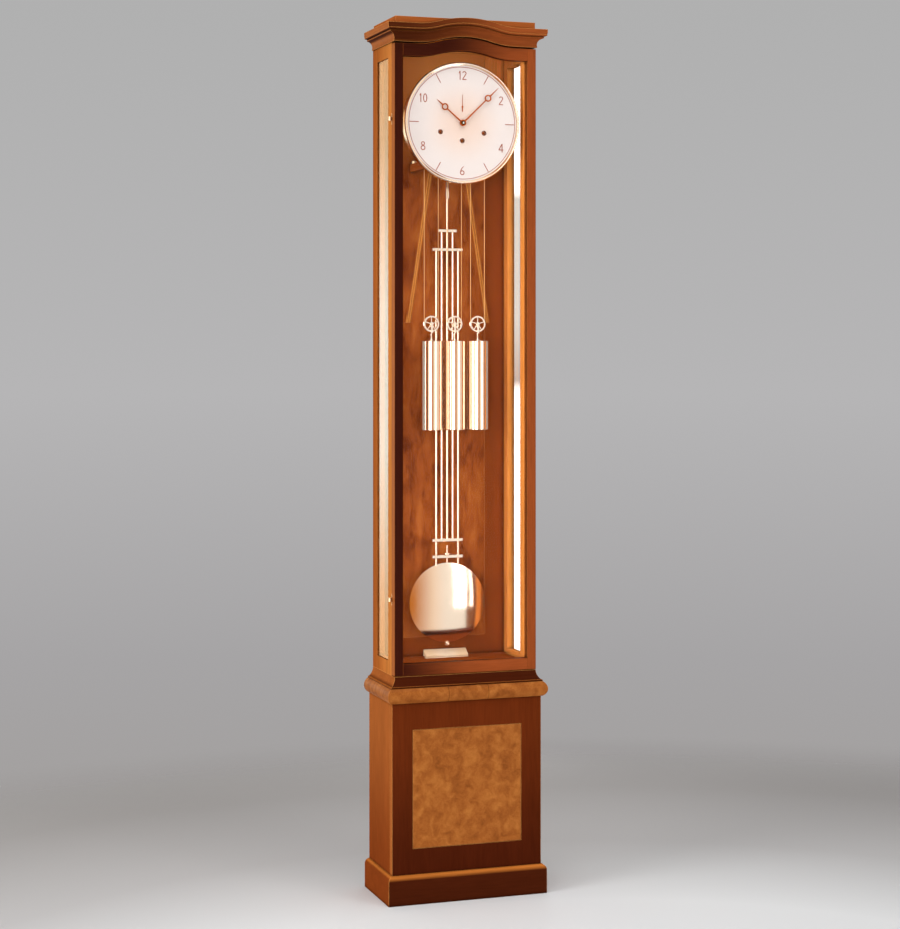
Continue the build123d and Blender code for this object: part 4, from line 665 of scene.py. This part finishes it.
def polished_metal(name, colour, roughness, smear):
    """Metal, polished, brushed or drawn: its roughness sets the sheen, and wipe marks dull it in places."""
    material, tree, output = new_material(name)
    place = add_node(tree, "ShaderNodeTexCoord")
    marks = add_node(
        tree,
        "ShaderNodeTexNoise",
        {"Vector": place.outputs["Object"], "Scale": 1 / WIPE_MARK, "Detail": 5.0, "Roughness": 0.7},
    )
    wiped = add_node(
        tree,
        "ShaderNodeMapRange",
        {
            "Value": marks.outputs["Fac"],
            "From Min": 0.35,
            "From Max": 0.75,
            "To Min": roughness,
            "To Max": roughness + smear,
        },
    )
    shader = add_node(
        tree,
        "ShaderNodeBsdfPrincipled",
        {"Base Color": linear(colour), "Metallic": 1.0, "Roughness": wiped.outputs[0]},
    )
    tree.links.new(shader.outputs[0], output.inputs["Surface"])
    return material


def lacquered_dial(name, tones, plate):
    """Silvered brass plate under clear lacquer: pale, a little warmer in its middle, with a satin sheen."""
    material, tree, output = new_material(name)
    place = add_node(tree, "ShaderNodeTexCoord")
    low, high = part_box(plate)
    reach = (high.x - low.x) / 2
    away = add_node(
        tree,
        "ShaderNodeVectorMath",
        {0: place.outputs["Object"], 1: centre_of(plate)},
        operation="DISTANCE",
    )
    rim = add_node(
        tree,
        "ShaderNodeMapRange",
        {"Value": away.outputs["Value"], "From Min": 0.1 * reach, "From Max": 0.8 * reach},
        interpolation_type="SMOOTHSTEP",
    )
    colour = add_node(
        tree, "ShaderNodeValToRGB", {"Fac": rim.outputs[0]}, stops=[(0.0, tones[0]), (1.0, tones[1])]
    )
    peel = add_node(
        tree,
        "ShaderNodeTexNoise",
        {"Vector": place.outputs["Object"], "Scale": 1 / ORANGE_PEEL, "Detail": 1.0},
    )
    bump = add_node(
        tree, "ShaderNodeBump", {"Height": peel.outputs["Fac"], "Strength": 0.05, "Distance": 0.05 * MM}
    )
    shader = add_node(
        tree,
        "ShaderNodeBsdfPrincipled",
        {
            "Base Color": colour.outputs["Color"],
            "Roughness": 0.4,
            "Specular IOR Level": 0.3,
            "Normal": bump.outputs[0],
        },
    )
    tree.links.new(shader.outputs[0], output.inputs["Surface"])
    return material


def printed_ink(name, colour):
    """Pad-printed ink: matt and even, with a slightly uneven film."""
    material, tree, output = new_material(name)
    place = add_node(tree, "ShaderNodeTexCoord")
    film = add_node(
        tree,
        "ShaderNodeTexNoise",
        {"Vector": place.outputs["Object"], "Scale": 1 / INK_FILM, "Detail": 2.0},
    )
    roughness = add_node(
        tree, "ShaderNodeMapRange", {"Value": film.outputs["Fac"], "To Min": 0.45, "To Max": 0.6}
    )
    shader = add_node(
        tree, "ShaderNodeBsdfPrincipled", {"Base Color": linear(colour), "Roughness": roughness.outputs[0]}
    )
    tree.links.new(shader.outputs[0], output.inputs["Surface"])
    return material


# ---------------------------------------------------------------- case


def shade_door(wood, across):
    """Paint light and shade on the door and the frieze board: dark at the left edge, lighter at the right one.
    """
    left, right = across
    places = {
        "upright": ("Z", across, ("door_stile_left", "door_stile_right")),
        # The head and the foot rails carry the painted light and shade over shifted spans.
        "head": ("X", (0.3 * left, right), ("door_top_rail", "door_glass_beads", "frieze_board")),
        "foot": ("X", (left, 0.3 * right), ("door_bottom_rail",)),
    }
    tones = (wood.front_left, wood.front_right)
    for place, (along, span, names) in places.items():
        name = f"shaded_cherry_{place}"
        finish = lacquered_cherry(
            name, along, wood, "X", span, tones, wood.flank, edge=wood.edge_dark, sheen=SATIN_SHEEN
        )
        paint(finish, *names)


def shade_cornice(wood, across):
    """Paint light and shade on the cornice: dark at its left end, lighter at its right one."""
    tones = (wood.cornice_left, wood.cornice_right)
    name = "shaded_cherry_cornice"
    finish = lacquered_cherry(
        name, "X", wood, "X", across, tones, wood.flank, wood.upper, wood.edge_bright, sheen=SATIN_SHEEN
    )
    paint(finish, "cornice_moulding")


def shade_base(wood, across):
    """Colour the base darker towards its foot, its sides in the lighter tone of painted side light, and keep
    the plinth and the cove dark.
    """
    low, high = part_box("base_front_frame")
    height = (low.z, high.z)
    bright = wood.edge_bright
    tones = (wood.base_low, wood.base_high)
    front = lacquered_cherry("dark_cherry_base", "Z", wood, "Z", height, tones, wood.flank, edge=bright)
    paint(front, "base_front_frame")
    # Base sides: painted side light, darker towards the foot.
    tones = (wood.flank_low, wood.flank)
    flanks = lacquered_cherry("side_lit_cherry_base", "Z", wood, "Z", height, tones, edge=bright)
    paint(flanks, "base_sides", "base_back")
    dark = (wood.moulding, wood.moulding)
    plinth = lacquered_cherry(
        "dark_cherry_mouldings", "X", wood, "X", across, dark, wood.flank_low, wood.upper, bright
    )
    paint(plinth, "plinth_moulding")
    # Only the cove's nearly level foot takes the painted highlight.
    level = (0.8, 0.97)
    cove = lacquered_cherry(
        "dark_cherry_cove", "X", wood, "X", across, dark, wood.flank, wood.upper, bright, rise=level
    )
    paint(cove, "belt_cove")


def shade_trunk(wood, across, head_span):
    """Colour the trunk's sides with painted side light, lighter at the front than at the rear, and paint light
    on the back's head.
    """
    low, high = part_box("trunk_side_left")
    deep = (low.y, high.y)
    tones = (wood.flank_front, wood.flank_rear)
    paint(lacquered_cherry("side_lit_cherry_trunk", "Z", wood, "Y", deep, tones), "trunk_side_left")
    # The right side is painted lighter, as if lit.
    tones = (wood.flank_inner, wood.flank_inner)
    paint(lacquered_cherry("lit_cherry_right_side", "Z", wood, "Y", deep, tones), "trunk_side_right")
    # The back's head is painted lighter, as if lit.
    tones = (wood.back, wood.back_lit_head)
    paint(lacquered_cherry("cherry_back", "Z", wood, "Z", head_span, tones), "back_frame")
    tones = (wood.back, wood.back)
    paint(lacquered_cherry("cherry_boards", "X", wood, "X", across, tones), "trunk_floor", "seat_board")
    # The top board takes the painted side-light tone.
    tones = (wood.flank, wood.flank)
    paint(lacquered_cherry("cherry_top", "X", wood, "X", across, tones), "top_board")


def lay_veneer(wood, across, head_span):
    """Lay the burl on the base panel, the band and the back."""
    tones = (wood.burl_dark, wood.burl_middle, wood.burl_light)
    paint(lacquered_burl("lacquered_burl", wood, tones), "base_front_panel")
    seam = (across[1] - across[0]) * wood.seam_share
    paint(lacquered_burl("lacquered_burl_band", wood, tones, joints=(-seam, seam)), "belt_band")
    tones = (wood.deep_dark, wood.deep_middle, wood.deep_light)
    # The back burl's head takes the same painted light.
    head = (*head_span, wood.back_lit_head)
    paint(lacquered_burl("lacquered_burl_drawn", wood, tones, stretch=3.0, head=head), "back_burl_panel")


class CLOCK_OT_case(bpy.types.Operator):
    """Finish the wooden case"""

    bl_idname = "clock.case"
    bl_label = "Case"

    def execute(self, context):
        wood = context.scene.clock_wood
        across = (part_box("door_stile_left")[0].x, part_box("door_stile_right")[1].x)
        back_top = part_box("back_frame")[1].z
        # Span of the painted light on the back's head.
        head_span = (wood.back_head * back_top, back_top)
        shade_door(wood, across)
        shade_cornice(wood, across)
        shade_base(wood, across)
        shade_trunk(wood, across, head_span)
        lay_veneer(wood, across, head_span)
        return {"FINISHED"}


# ---------------------------------------------------------------- glass, dial and brass


class CLOCK_OT_glass(bpy.types.Operator):
    """Finish the panes"""

    bl_idname = "clock.glass"
    bl_label = "Glass"

    def execute(self, context):
        glass = context.scene.clock_glass
        paint(float_glass("coated_float_glass", glass, glass.coated), "door_glass")
        paint(float_glass("polished_float_glass", glass, glass.plain), "side_glasses")
        return {"FINISHED"}


class CLOCK_OT_dial(bpy.types.Operator):
    """Finish the dial, the hands and the movement"""

    bl_idname = "clock.dial"
    bl_label = "Dial and movement"

    def execute(self, context):
        dial = context.scene.clock_dial
        metal = context.scene.clock_metal
        paint(lacquered_dial("silvered_dial", (dial.middle, dial.rim), "dial_plate"), "dial_plate")
        paint(printed_ink("printed_bronze_ink", dial.ink), "dial_markings")
        bezel = polished_metal("polished_brass_bezel", metal.brass, roughness=0.12, smear=0.06)
        paint(bezel, "dial_bezel")
        hands = polished_metal("bronzed_hands", metal.hands, roughness=0.35, smear=0.1)
        paint(hands, "hour_hand", "minute_hand", "seconds_hand")
        paint(printed_ink("painted_eyelets", dial.eyelets), "winding_eyelets")
        plates = polished_metal("brushed_brass_plates", metal.brass, roughness=0.25, smear=0.1)
        paint(plates, "movement_front_plate", "movement_back_plate", "escape_wheel")
        drums = polished_metal("bronzed_drums", metal.drums, roughness=0.35, smear=0.1)
        paint(drums, *(f"winding_drum_{side}" for side in SIDES))
        steel = polished_metal("polished_steel", metal.steel, roughness=0.15, smear=0.1)
        paint(steel, "centre_arbor", "anchor", "door_catch")
        black = polished_metal("blackened_steel", metal.black, roughness=0.3, smear=0.1)
        paint(black, "hand_nut", "gong_blocks")
        return {"FINISHED"}


class CLOCK_OT_brass(bpy.types.Operator):
    """Finish the pendulum, weights, gong and fittings"""

    bl_idname = "clock.brass"
    bl_label = "Brass parts"

    def execute(self, context):
        dial = context.scene.clock_dial
        metal = context.scene.clock_metal
        mirror = polished_metal("mirror_polished_brass", metal.brass, roughness=0.08, smear=0.05)
        paint(mirror, "pendulum_rods", "pendulum_crosspieces", "rating_nut", "suspension", "pendulum_bob")
        for side in SIDES:
            paint(mirror, f"weight_{side}", f"pulley_{side}")
        brushed = polished_metal("brushed_brass_fittings", metal.satin, roughness=0.4, smear=0.1)
        paint(brushed, "seat_fittings", "hinge_case_leaves", "hinge_door_leaves", "catch_plate")
        scale = lacquered_dial("silvered_scale", (dial.scale_middle, dial.scale_end), "beat_scale")
        paint(scale, "beat_scale")
        drawn = polished_metal("drawn_bronze", metal.gong, roughness=0.42, smear=0.1)
        paint(drawn, "gong_rods", "gong_hammers")
        return {"FINISHED"}


# ---------------------------------------------------------------- cables


def twisted_strands(settings, radius):
    """Section of a cable with one lobe per strand, turned a little further at each point of its path."""

    def section(i):
        turn = 2 * math.pi * i * CABLE_STEP / settings.lay
        count = POINTS_PER_STRAND * settings.strands
        points = []
        for k in range(count):
            angle = 2 * math.pi * k / count
            r = radius * (1 - LOBE + LOBE * math.cos(settings.strands * angle))
            points.append((r * math.cos(angle + turn), r * math.sin(angle + turn)))
        return points

    return section


def leaving_point(drum, outer, seat_top, barrel, outward):
    """Where the cable's straight run up from the seat touches the drum's barrel, as (x, z)."""
    away = Vector((outer - drum.x, seat_top - drum.z))
    reach = away.length_squared
    across = outward * barrel * math.sqrt(max(reach - barrel**2, 0)) / reach
    share = barrel**2 / reach
    return Vector((drum.x + share * away.x - across * away.y, drum.z + share * away.y + across * away.x))


def cable_route(pulley, outward, depth, seat_top, leave, settings):
    """From above the seat down to the pulley, half round it, up through the seat and on to the drum."""
    pitch = settings.groove
    inner = pulley.x - outward * pitch
    outer = pulley.x + outward * pitch
    top = seat_top + settings.tail
    count = int((top - pulley.z) / CABLE_STEP)
    path = [Vector((inner, depth, top + (pulley.z - top) * k / count)) for k in range(count)]
    count = int(math.pi * pitch / CABLE_STEP)
    for k in range(count):
        angle = math.pi * k / count
        x = pulley.x - outward * pitch * math.cos(angle)
        path.append(Vector((x, depth, pulley.z - pitch * math.sin(angle))))
    count = int((seat_top - pulley.z) / CABLE_STEP)
    path += [Vector((outer, depth, pulley.z + (seat_top - pulley.z) * k / count)) for k in range(count)]
    count = int((leave - Vector((outer, seat_top))).length / CABLE_STEP)
    for k in range(count + 1):
        x, z = Vector((outer, seat_top)).lerp(leave, k / count)
        path.append(Vector((x, depth, z)))
    return path


def spare_turns(drum, outward, depth, leave, settings):
    """The turns of cable that are left on a drum, from where the cable leaves it."""
    barrel = settings.barrel
    start = math.atan2(leave.y - drum.z, leave.x - drum.x)
    total = int(2 * math.pi * barrel * settings.wraps / CABLE_STEP)
    turns = []
    for k in range(total):
        angle = start + outward * 2 * math.pi * settings.wraps * k / total
        back = settings.wraps * settings.wrap_pitch * k / total
        x = drum.x + barrel * math.cos(angle)
        turns.append(Vector((x, depth - back, drum.z + barrel * math.sin(angle))))
    return turns


class CLOCK_OT_cables(bpy.types.Operator):
    """Twist the three weight cables and wind their spare turns on the drums"""

    bl_idname = "clock.cables"
    bl_label = "Cables"

    def execute(self, context):
        settings = context.scene.clock_cables
        metal = context.scene.clock_metal
        bronze = polished_metal("stranded_bronze", metal.bronze, roughness=0.28, smear=0.1)
        low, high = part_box("weight_cables")
        depth = (low.y + high.y) / 2
        section = twisted_strands(settings, (high.y - low.y) / 2)
        seat_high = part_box("seat_board")[1]
        for side in SIDES:
            pulley = centre_of(f"pulley_{side}")
            drum = centre_of(f"winding_drum_{side}")
            outward = 1 if side == "right" else -1
            outer = pulley.x + outward * settings.groove
            leave = leaving_point(drum, outer, seat_high.z, settings.barrel, outward)

            path = cable_route(pulley, outward, depth, seat_high.z, leave, settings)
            cable = tube_rings(f"cable_{side}", path, section, bronze)
            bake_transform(cable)
            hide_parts("weight_cables")

            turns = spare_turns(drum, outward, depth, leave, settings)
            wound = tube_rings(f"cable_turns_{side}", turns, section, bronze)
            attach(wound, f"drum_{side}")
        return {"FINISHED"}


# ---------------------------------------------------------------- stage


def set_camera(scene, settings):
    """Place the camera level, with a shifted lens."""
    camera = bpy.data.objects.new("camera", bpy.data.cameras.new("camera"))
    scene.collection.objects.link(camera)
    camera.data.lens = settings.lens
    camera.data.sensor_width = 36
    camera.data.shift_y = settings.shift
    camera.data.clip_end = 100
    camera.location = settings.position
    camera.rotation_euler = (math.radians(90), 0, -settings.yaw)
    scene.camera = camera


def painted_floor(settings):
    """Matt painted studio floor with a pool of light painted into its colour: palest in its middle, darker
    further out, and it fades into the backdrop far out.
    """
    material, tree, output = new_material("painted_studio_floor")
    place = add_node(tree, "ShaderNodeTexCoord")
    away = add_node(
        tree,
        "ShaderNodeVectorMath",
        {0: place.outputs["Object"], 1: settings.pool},
        operation="DISTANCE",
    )
    share = add_node(
        tree,
        "ShaderNodeMapRange",
        {"Value": away.outputs["Value"], "From Min": settings.floor_near, "From Max": settings.floor_far},
    )
    # Painted light: the floor's tones darken away from the pool's middle.
    tones = add_node(
        tree,
        "ShaderNodeValToRGB",
        {"Fac": share.outputs[0]},
        stops=[(0.0, settings.floor), (0.46, settings.floor_middle), (1.0, settings.floor_edge)],
    )
    matt = add_node(
        tree, "ShaderNodeBsdfPrincipled", {"Base Color": tones.outputs["Color"], "Roughness": 0.8}
    )
    beyond = add_node(tree, "ShaderNodeBsdfTransparent")
    fade = add_node(
        tree,
        "ShaderNodeMapRange",
        {"Value": away.outputs["Value"], "From Min": settings.floor_far, "From Max": settings.floor_end},
        interpolation_type="SMOOTHSTEP",
    )
    mix = add_node(
        tree, "ShaderNodeMixShader", {"Fac": fade.outputs[0], 1: matt.outputs[0], 2: beyond.outputs[0]}
    )
    tree.links.new(mix.outputs[0], output.inputs["Surface"])
    return material


def lay_floor(settings):
    """Lay the floor, which neither the brass nor the glass shows."""
    size = 1.5 * settings.floor_end
    corners = [(-size, -size, 0), (size, -size, 0), (size, size, 0), (-size, size, 0)]
    mesh = bpy.data.meshes.new("studio_floor")
    mesh.from_pydata(corners, [], [(0, 1, 2, 3)])
    floor = mesh_object("studio_floor", mesh, painted_floor(settings), smooth=False)
    floor.visible_glossy = False
    floor.visible_transmission = False


def hang_backdrop(scene, settings):
    """Fill the world: a backdrop for the eye, a room for the brass to mirror, and plain air for the light."""
    world = bpy.data.worlds.new("studio_air")
    scene.world = world
    world.use_nodes = True
    tree = world.node_tree
    tree.nodes.clear()
    output = tree.nodes.new("ShaderNodeOutputWorld")
    place = add_node(tree, "ShaderNodeTexCoord")
    direction = add_node(tree, "ShaderNodeSeparateXYZ", {0: place.outputs["Generated"]})

    # The backdrop, from its foot to its head.
    height = add_node(
        tree, "ShaderNodeMapRange", {"Value": direction.outputs["Z"], "From Min": -0.25, "From Max": 0.25}
    )
    wall = add_node(
        tree,
        "ShaderNodeValToRGB",
        {"Fac": height.outputs[0]},
        stops=[
            (0.08, settings.backdrop_low),
            (0.2, settings.backdrop_middle),
            (0.45, settings.backdrop),
            (0.84, settings.backdrop_top),
        ],
    )
    seen = add_node(tree, "ShaderNodeBackground", {"Color": wall.outputs["Color"], "Strength": 1.0})
    lit = add_node(tree, "ShaderNodeBackground", {"Color": linear("#FFFFFF"), "Strength": settings.air})

    # The room behind the camera, from its left to its right.
    turn = add_node(
        tree, "ShaderNodeMapRange", {"Value": direction.outputs["X"], "From Min": -0.2, "From Max": 0.8}
    )
    furnished = add_node(
        tree,
        "ShaderNodeValToRGB",
        {"Fac": turn.outputs[0]},
        stops=[
            (0.0, settings.room_pale),
            (0.08, settings.room_warm),
            (0.16, settings.room_warm),
            (0.38, settings.room_pale),
            (0.5, settings.room_white),
            (0.68, settings.room_white),
            (0.7, settings.room_dark),
            (0.84, settings.room_dark),
            (0.88, settings.room_pale),
        ],
    )
    room = add_node(tree, "ShaderNodeBackground", {"Color": furnished.outputs["Color"], "Strength": 1.0})

    # It fills only what lies behind the camera and not far below it.
    behind = add_node(
        tree, "ShaderNodeMapRange", {"Value": direction.outputs["Y"], "From Min": -0.1, "From Max": -0.3}
    )
    raised = add_node(
        tree, "ShaderNodeMapRange", {"Value": direction.outputs["Z"], "From Min": -0.5, "From Max": -0.4}
    )
    inside = add_node(
        tree, "ShaderNodeMath", {0: behind.outputs[0], 1: raised.outputs[0]}, operation="MULTIPLY"
    )
    mirrored = add_node(
        tree, "ShaderNodeMixShader", {"Fac": inside.outputs[0], 1: seen.outputs[0], 2: room.outputs[0]}
    )

    # What is mirrored inside the case reaches the room through the door glass.
    path = add_node(tree, "ShaderNodeLightPath")
    bounced = add_node(
        tree,
        "ShaderNodeMath",
        {0: path.outputs["Is Glossy Ray"], 1: path.outputs["Is Transmission Ray"]},
        operation="MAXIMUM",
    )
    around = add_node(
        tree, "ShaderNodeMixShader", {"Fac": bounced.outputs[0], 1: lit.outputs[0], 2: mirrored.outputs[0]}
    )
    mix = add_node(
        tree,
        "ShaderNodeMixShader",
        {"Fac": path.outputs["Is Camera Ray"], 1: around.outputs[0], 2: seen.outputs[0]},
    )
    tree.links.new(mix.outputs[0], output.inputs["Surface"])


def dye_cloth(lamp, cloth):
    """Dye a lamp's cloth with stops of (share of its height, linear colour)."""
    lamp.use_nodes = True
    tree = lamp.node_tree
    tree.nodes.clear()
    spot = add_node(tree, "ShaderNodeNewGeometry")
    parts = add_node(tree, "ShaderNodeSeparateXYZ", {0: spot.outputs["Parametric"]})
    dye = add_node(tree, "ShaderNodeValToRGB", {"Fac": parts.outputs["Y"]}, stops=cloth)
    glow = add_node(tree, "ShaderNodeEmission", {"Color": dye.outputs["Color"], "Strength": 1.0})
    end = add_node(tree, "ShaderNodeOutputLight")
    tree.links.new(glow.outputs[0], end.inputs[0])


def softbox(name, place, target, width, height, brightness, cloth=None):
    """One rectangular studio light that faces its target, with the brightness of its cloth."""
    lamp = bpy.data.lights.new(name, "AREA")
    lamp.shape = "RECTANGLE"
    lamp.size = width
    lamp.size_y = height
    lamp.energy = brightness * math.pi * width * height
    if cloth:
        dye_cloth(lamp, cloth)
    holder = bpy.data.objects.new(name, lamp)
    bpy.context.scene.collection.objects.link(holder)
    holder.location = place
    holder.rotation_euler = (Vector(target) - Vector(place)).to_track_quat("-Z", "Y").to_euler()
    holder.visible_camera = False


def hang_lights():
    """Hang broad lights left, in front and above, two narrow ones right and two dyed ones behind."""
    middle = (0, 0, 1.1)
    softbox("softbox_key", (-3.2, -1.1, 1.4), middle, width=1.6, height=2.6, brightness=5.0)
    softbox("softbox_front", (-2.9, -5.2, 1.4), middle, width=2.4, height=2.4, brightness=3.6)
    softbox("softbox_fill", (1.535, -3.0, 1.15), (0, 0, 1.15), width=0.47, height=2.2, brightness=3.6)
    softbox("softbox_window", (2.08, -2.9, 1.0), (0, 0, 1.0), width=0.27, height=1.9, brightness=3.2)
    softbox("softbox_top", (0, -0.8, 4.2), middle, width=2.4, height=2.4, brightness=3.3)
    amber, peach, cream = (0.62, 0.3, 0.02), (0.66, 0.42, 0.15), (0.84, 0.88, 0.72)
    softbox(
        "softbox_back",
        (-1.9, 4.7, 1.25),
        (0, 0, 1.25),
        width=1.6,
        height=3.4,
        brightness=1.85,
        cloth=[(0.0, amber), (0.14, peach), (0.35, cream), (0.55, cream), (0.78, peach), (0.92, amber)],
    )
    bright, dim, grey = (1.0, 1.0, 1.0), (0.05, 0.04, 0.035), (0.13, 0.16, 0.16)
    softbox(
        "softbox_strip",
        (0.69, 1.6, 1.225),
        (0.12, 0, 1.225),
        width=0.2,
        height=2.05,
        brightness=3.0,
        cloth=[(0.43, bright), (0.46, dim), (0.55, grey), (0.74, grey), (0.76, bright)],
    )


class CLOCK_OT_stage(bpy.types.Operator):
    """Set the floor, backdrop, lights and camera"""

    bl_idname = "clock.stage"
    bl_label = "Stage"

    def execute(self, context):
        settings = context.scene.clock_stage
        context.scene.view_settings.view_transform = "Standard"
        set_camera(context.scene, settings)
        lay_floor(settings)
        hang_backdrop(context.scene, settings)
        hang_lights()
        return {"FINISHED"}


# ---------------------------------------------------------------- panel


class CLOCK_PT_panel(bpy.types.Panel):
    """Lists the clock's operators"""

    bl_idname = "CLOCK_PT_panel"
    bl_label = "Longcase Clock"
    bl_space_type = "VIEW_3D"
    bl_region_type = "UI"
    bl_category = "Clock"

    def draw(self, context):
        for operator in OPERATORS:
            self.layout.operator(operator.bl_idname)
        for name in SETTINGS:
            group = getattr(context.scene, name)
            box = self.layout.box()
            for field in group.__annotations__:
                box.prop(group, field)


OPERATORS = (CLOCK_OT_case, CLOCK_OT_glass, CLOCK_OT_dial, CLOCK_OT_brass, CLOCK_OT_cables, CLOCK_OT_stage)
SETTINGS = {
    "clock_wood": WoodSettings,
    "clock_glass": GlassSettings,
    "clock_dial": DialSettings,
    "clock_metal": MetalSettings,
    "clock_cables": CableSettings,
    "clock_stage": StageSettings,
}


def register():
    for kind in (*SETTINGS.values(), *OPERATORS, CLOCK_PT_panel):
        bpy.utils.register_class(kind)
    for name, kind in SETTINGS.items():
        setattr(bpy.types.Scene, name, PointerProperty(type=kind))


def unregister():
    for name in SETTINGS:
        delattr(bpy.types.Scene, name)
    for kind in reversed((*SETTINGS.values(), *OPERATORS, CLOCK_PT_panel)):
        bpy.utils.unregister_class(kind)


def main():
    register()
    bpy.ops.clock.case()
    bpy.ops.clock.glass()
    bpy.ops.clock.dial()
    bpy.ops.clock.brass()
    bpy.ops.clock.cables()
    bpy.ops.clock.stage()


if __name__ == "__main__":
    main()
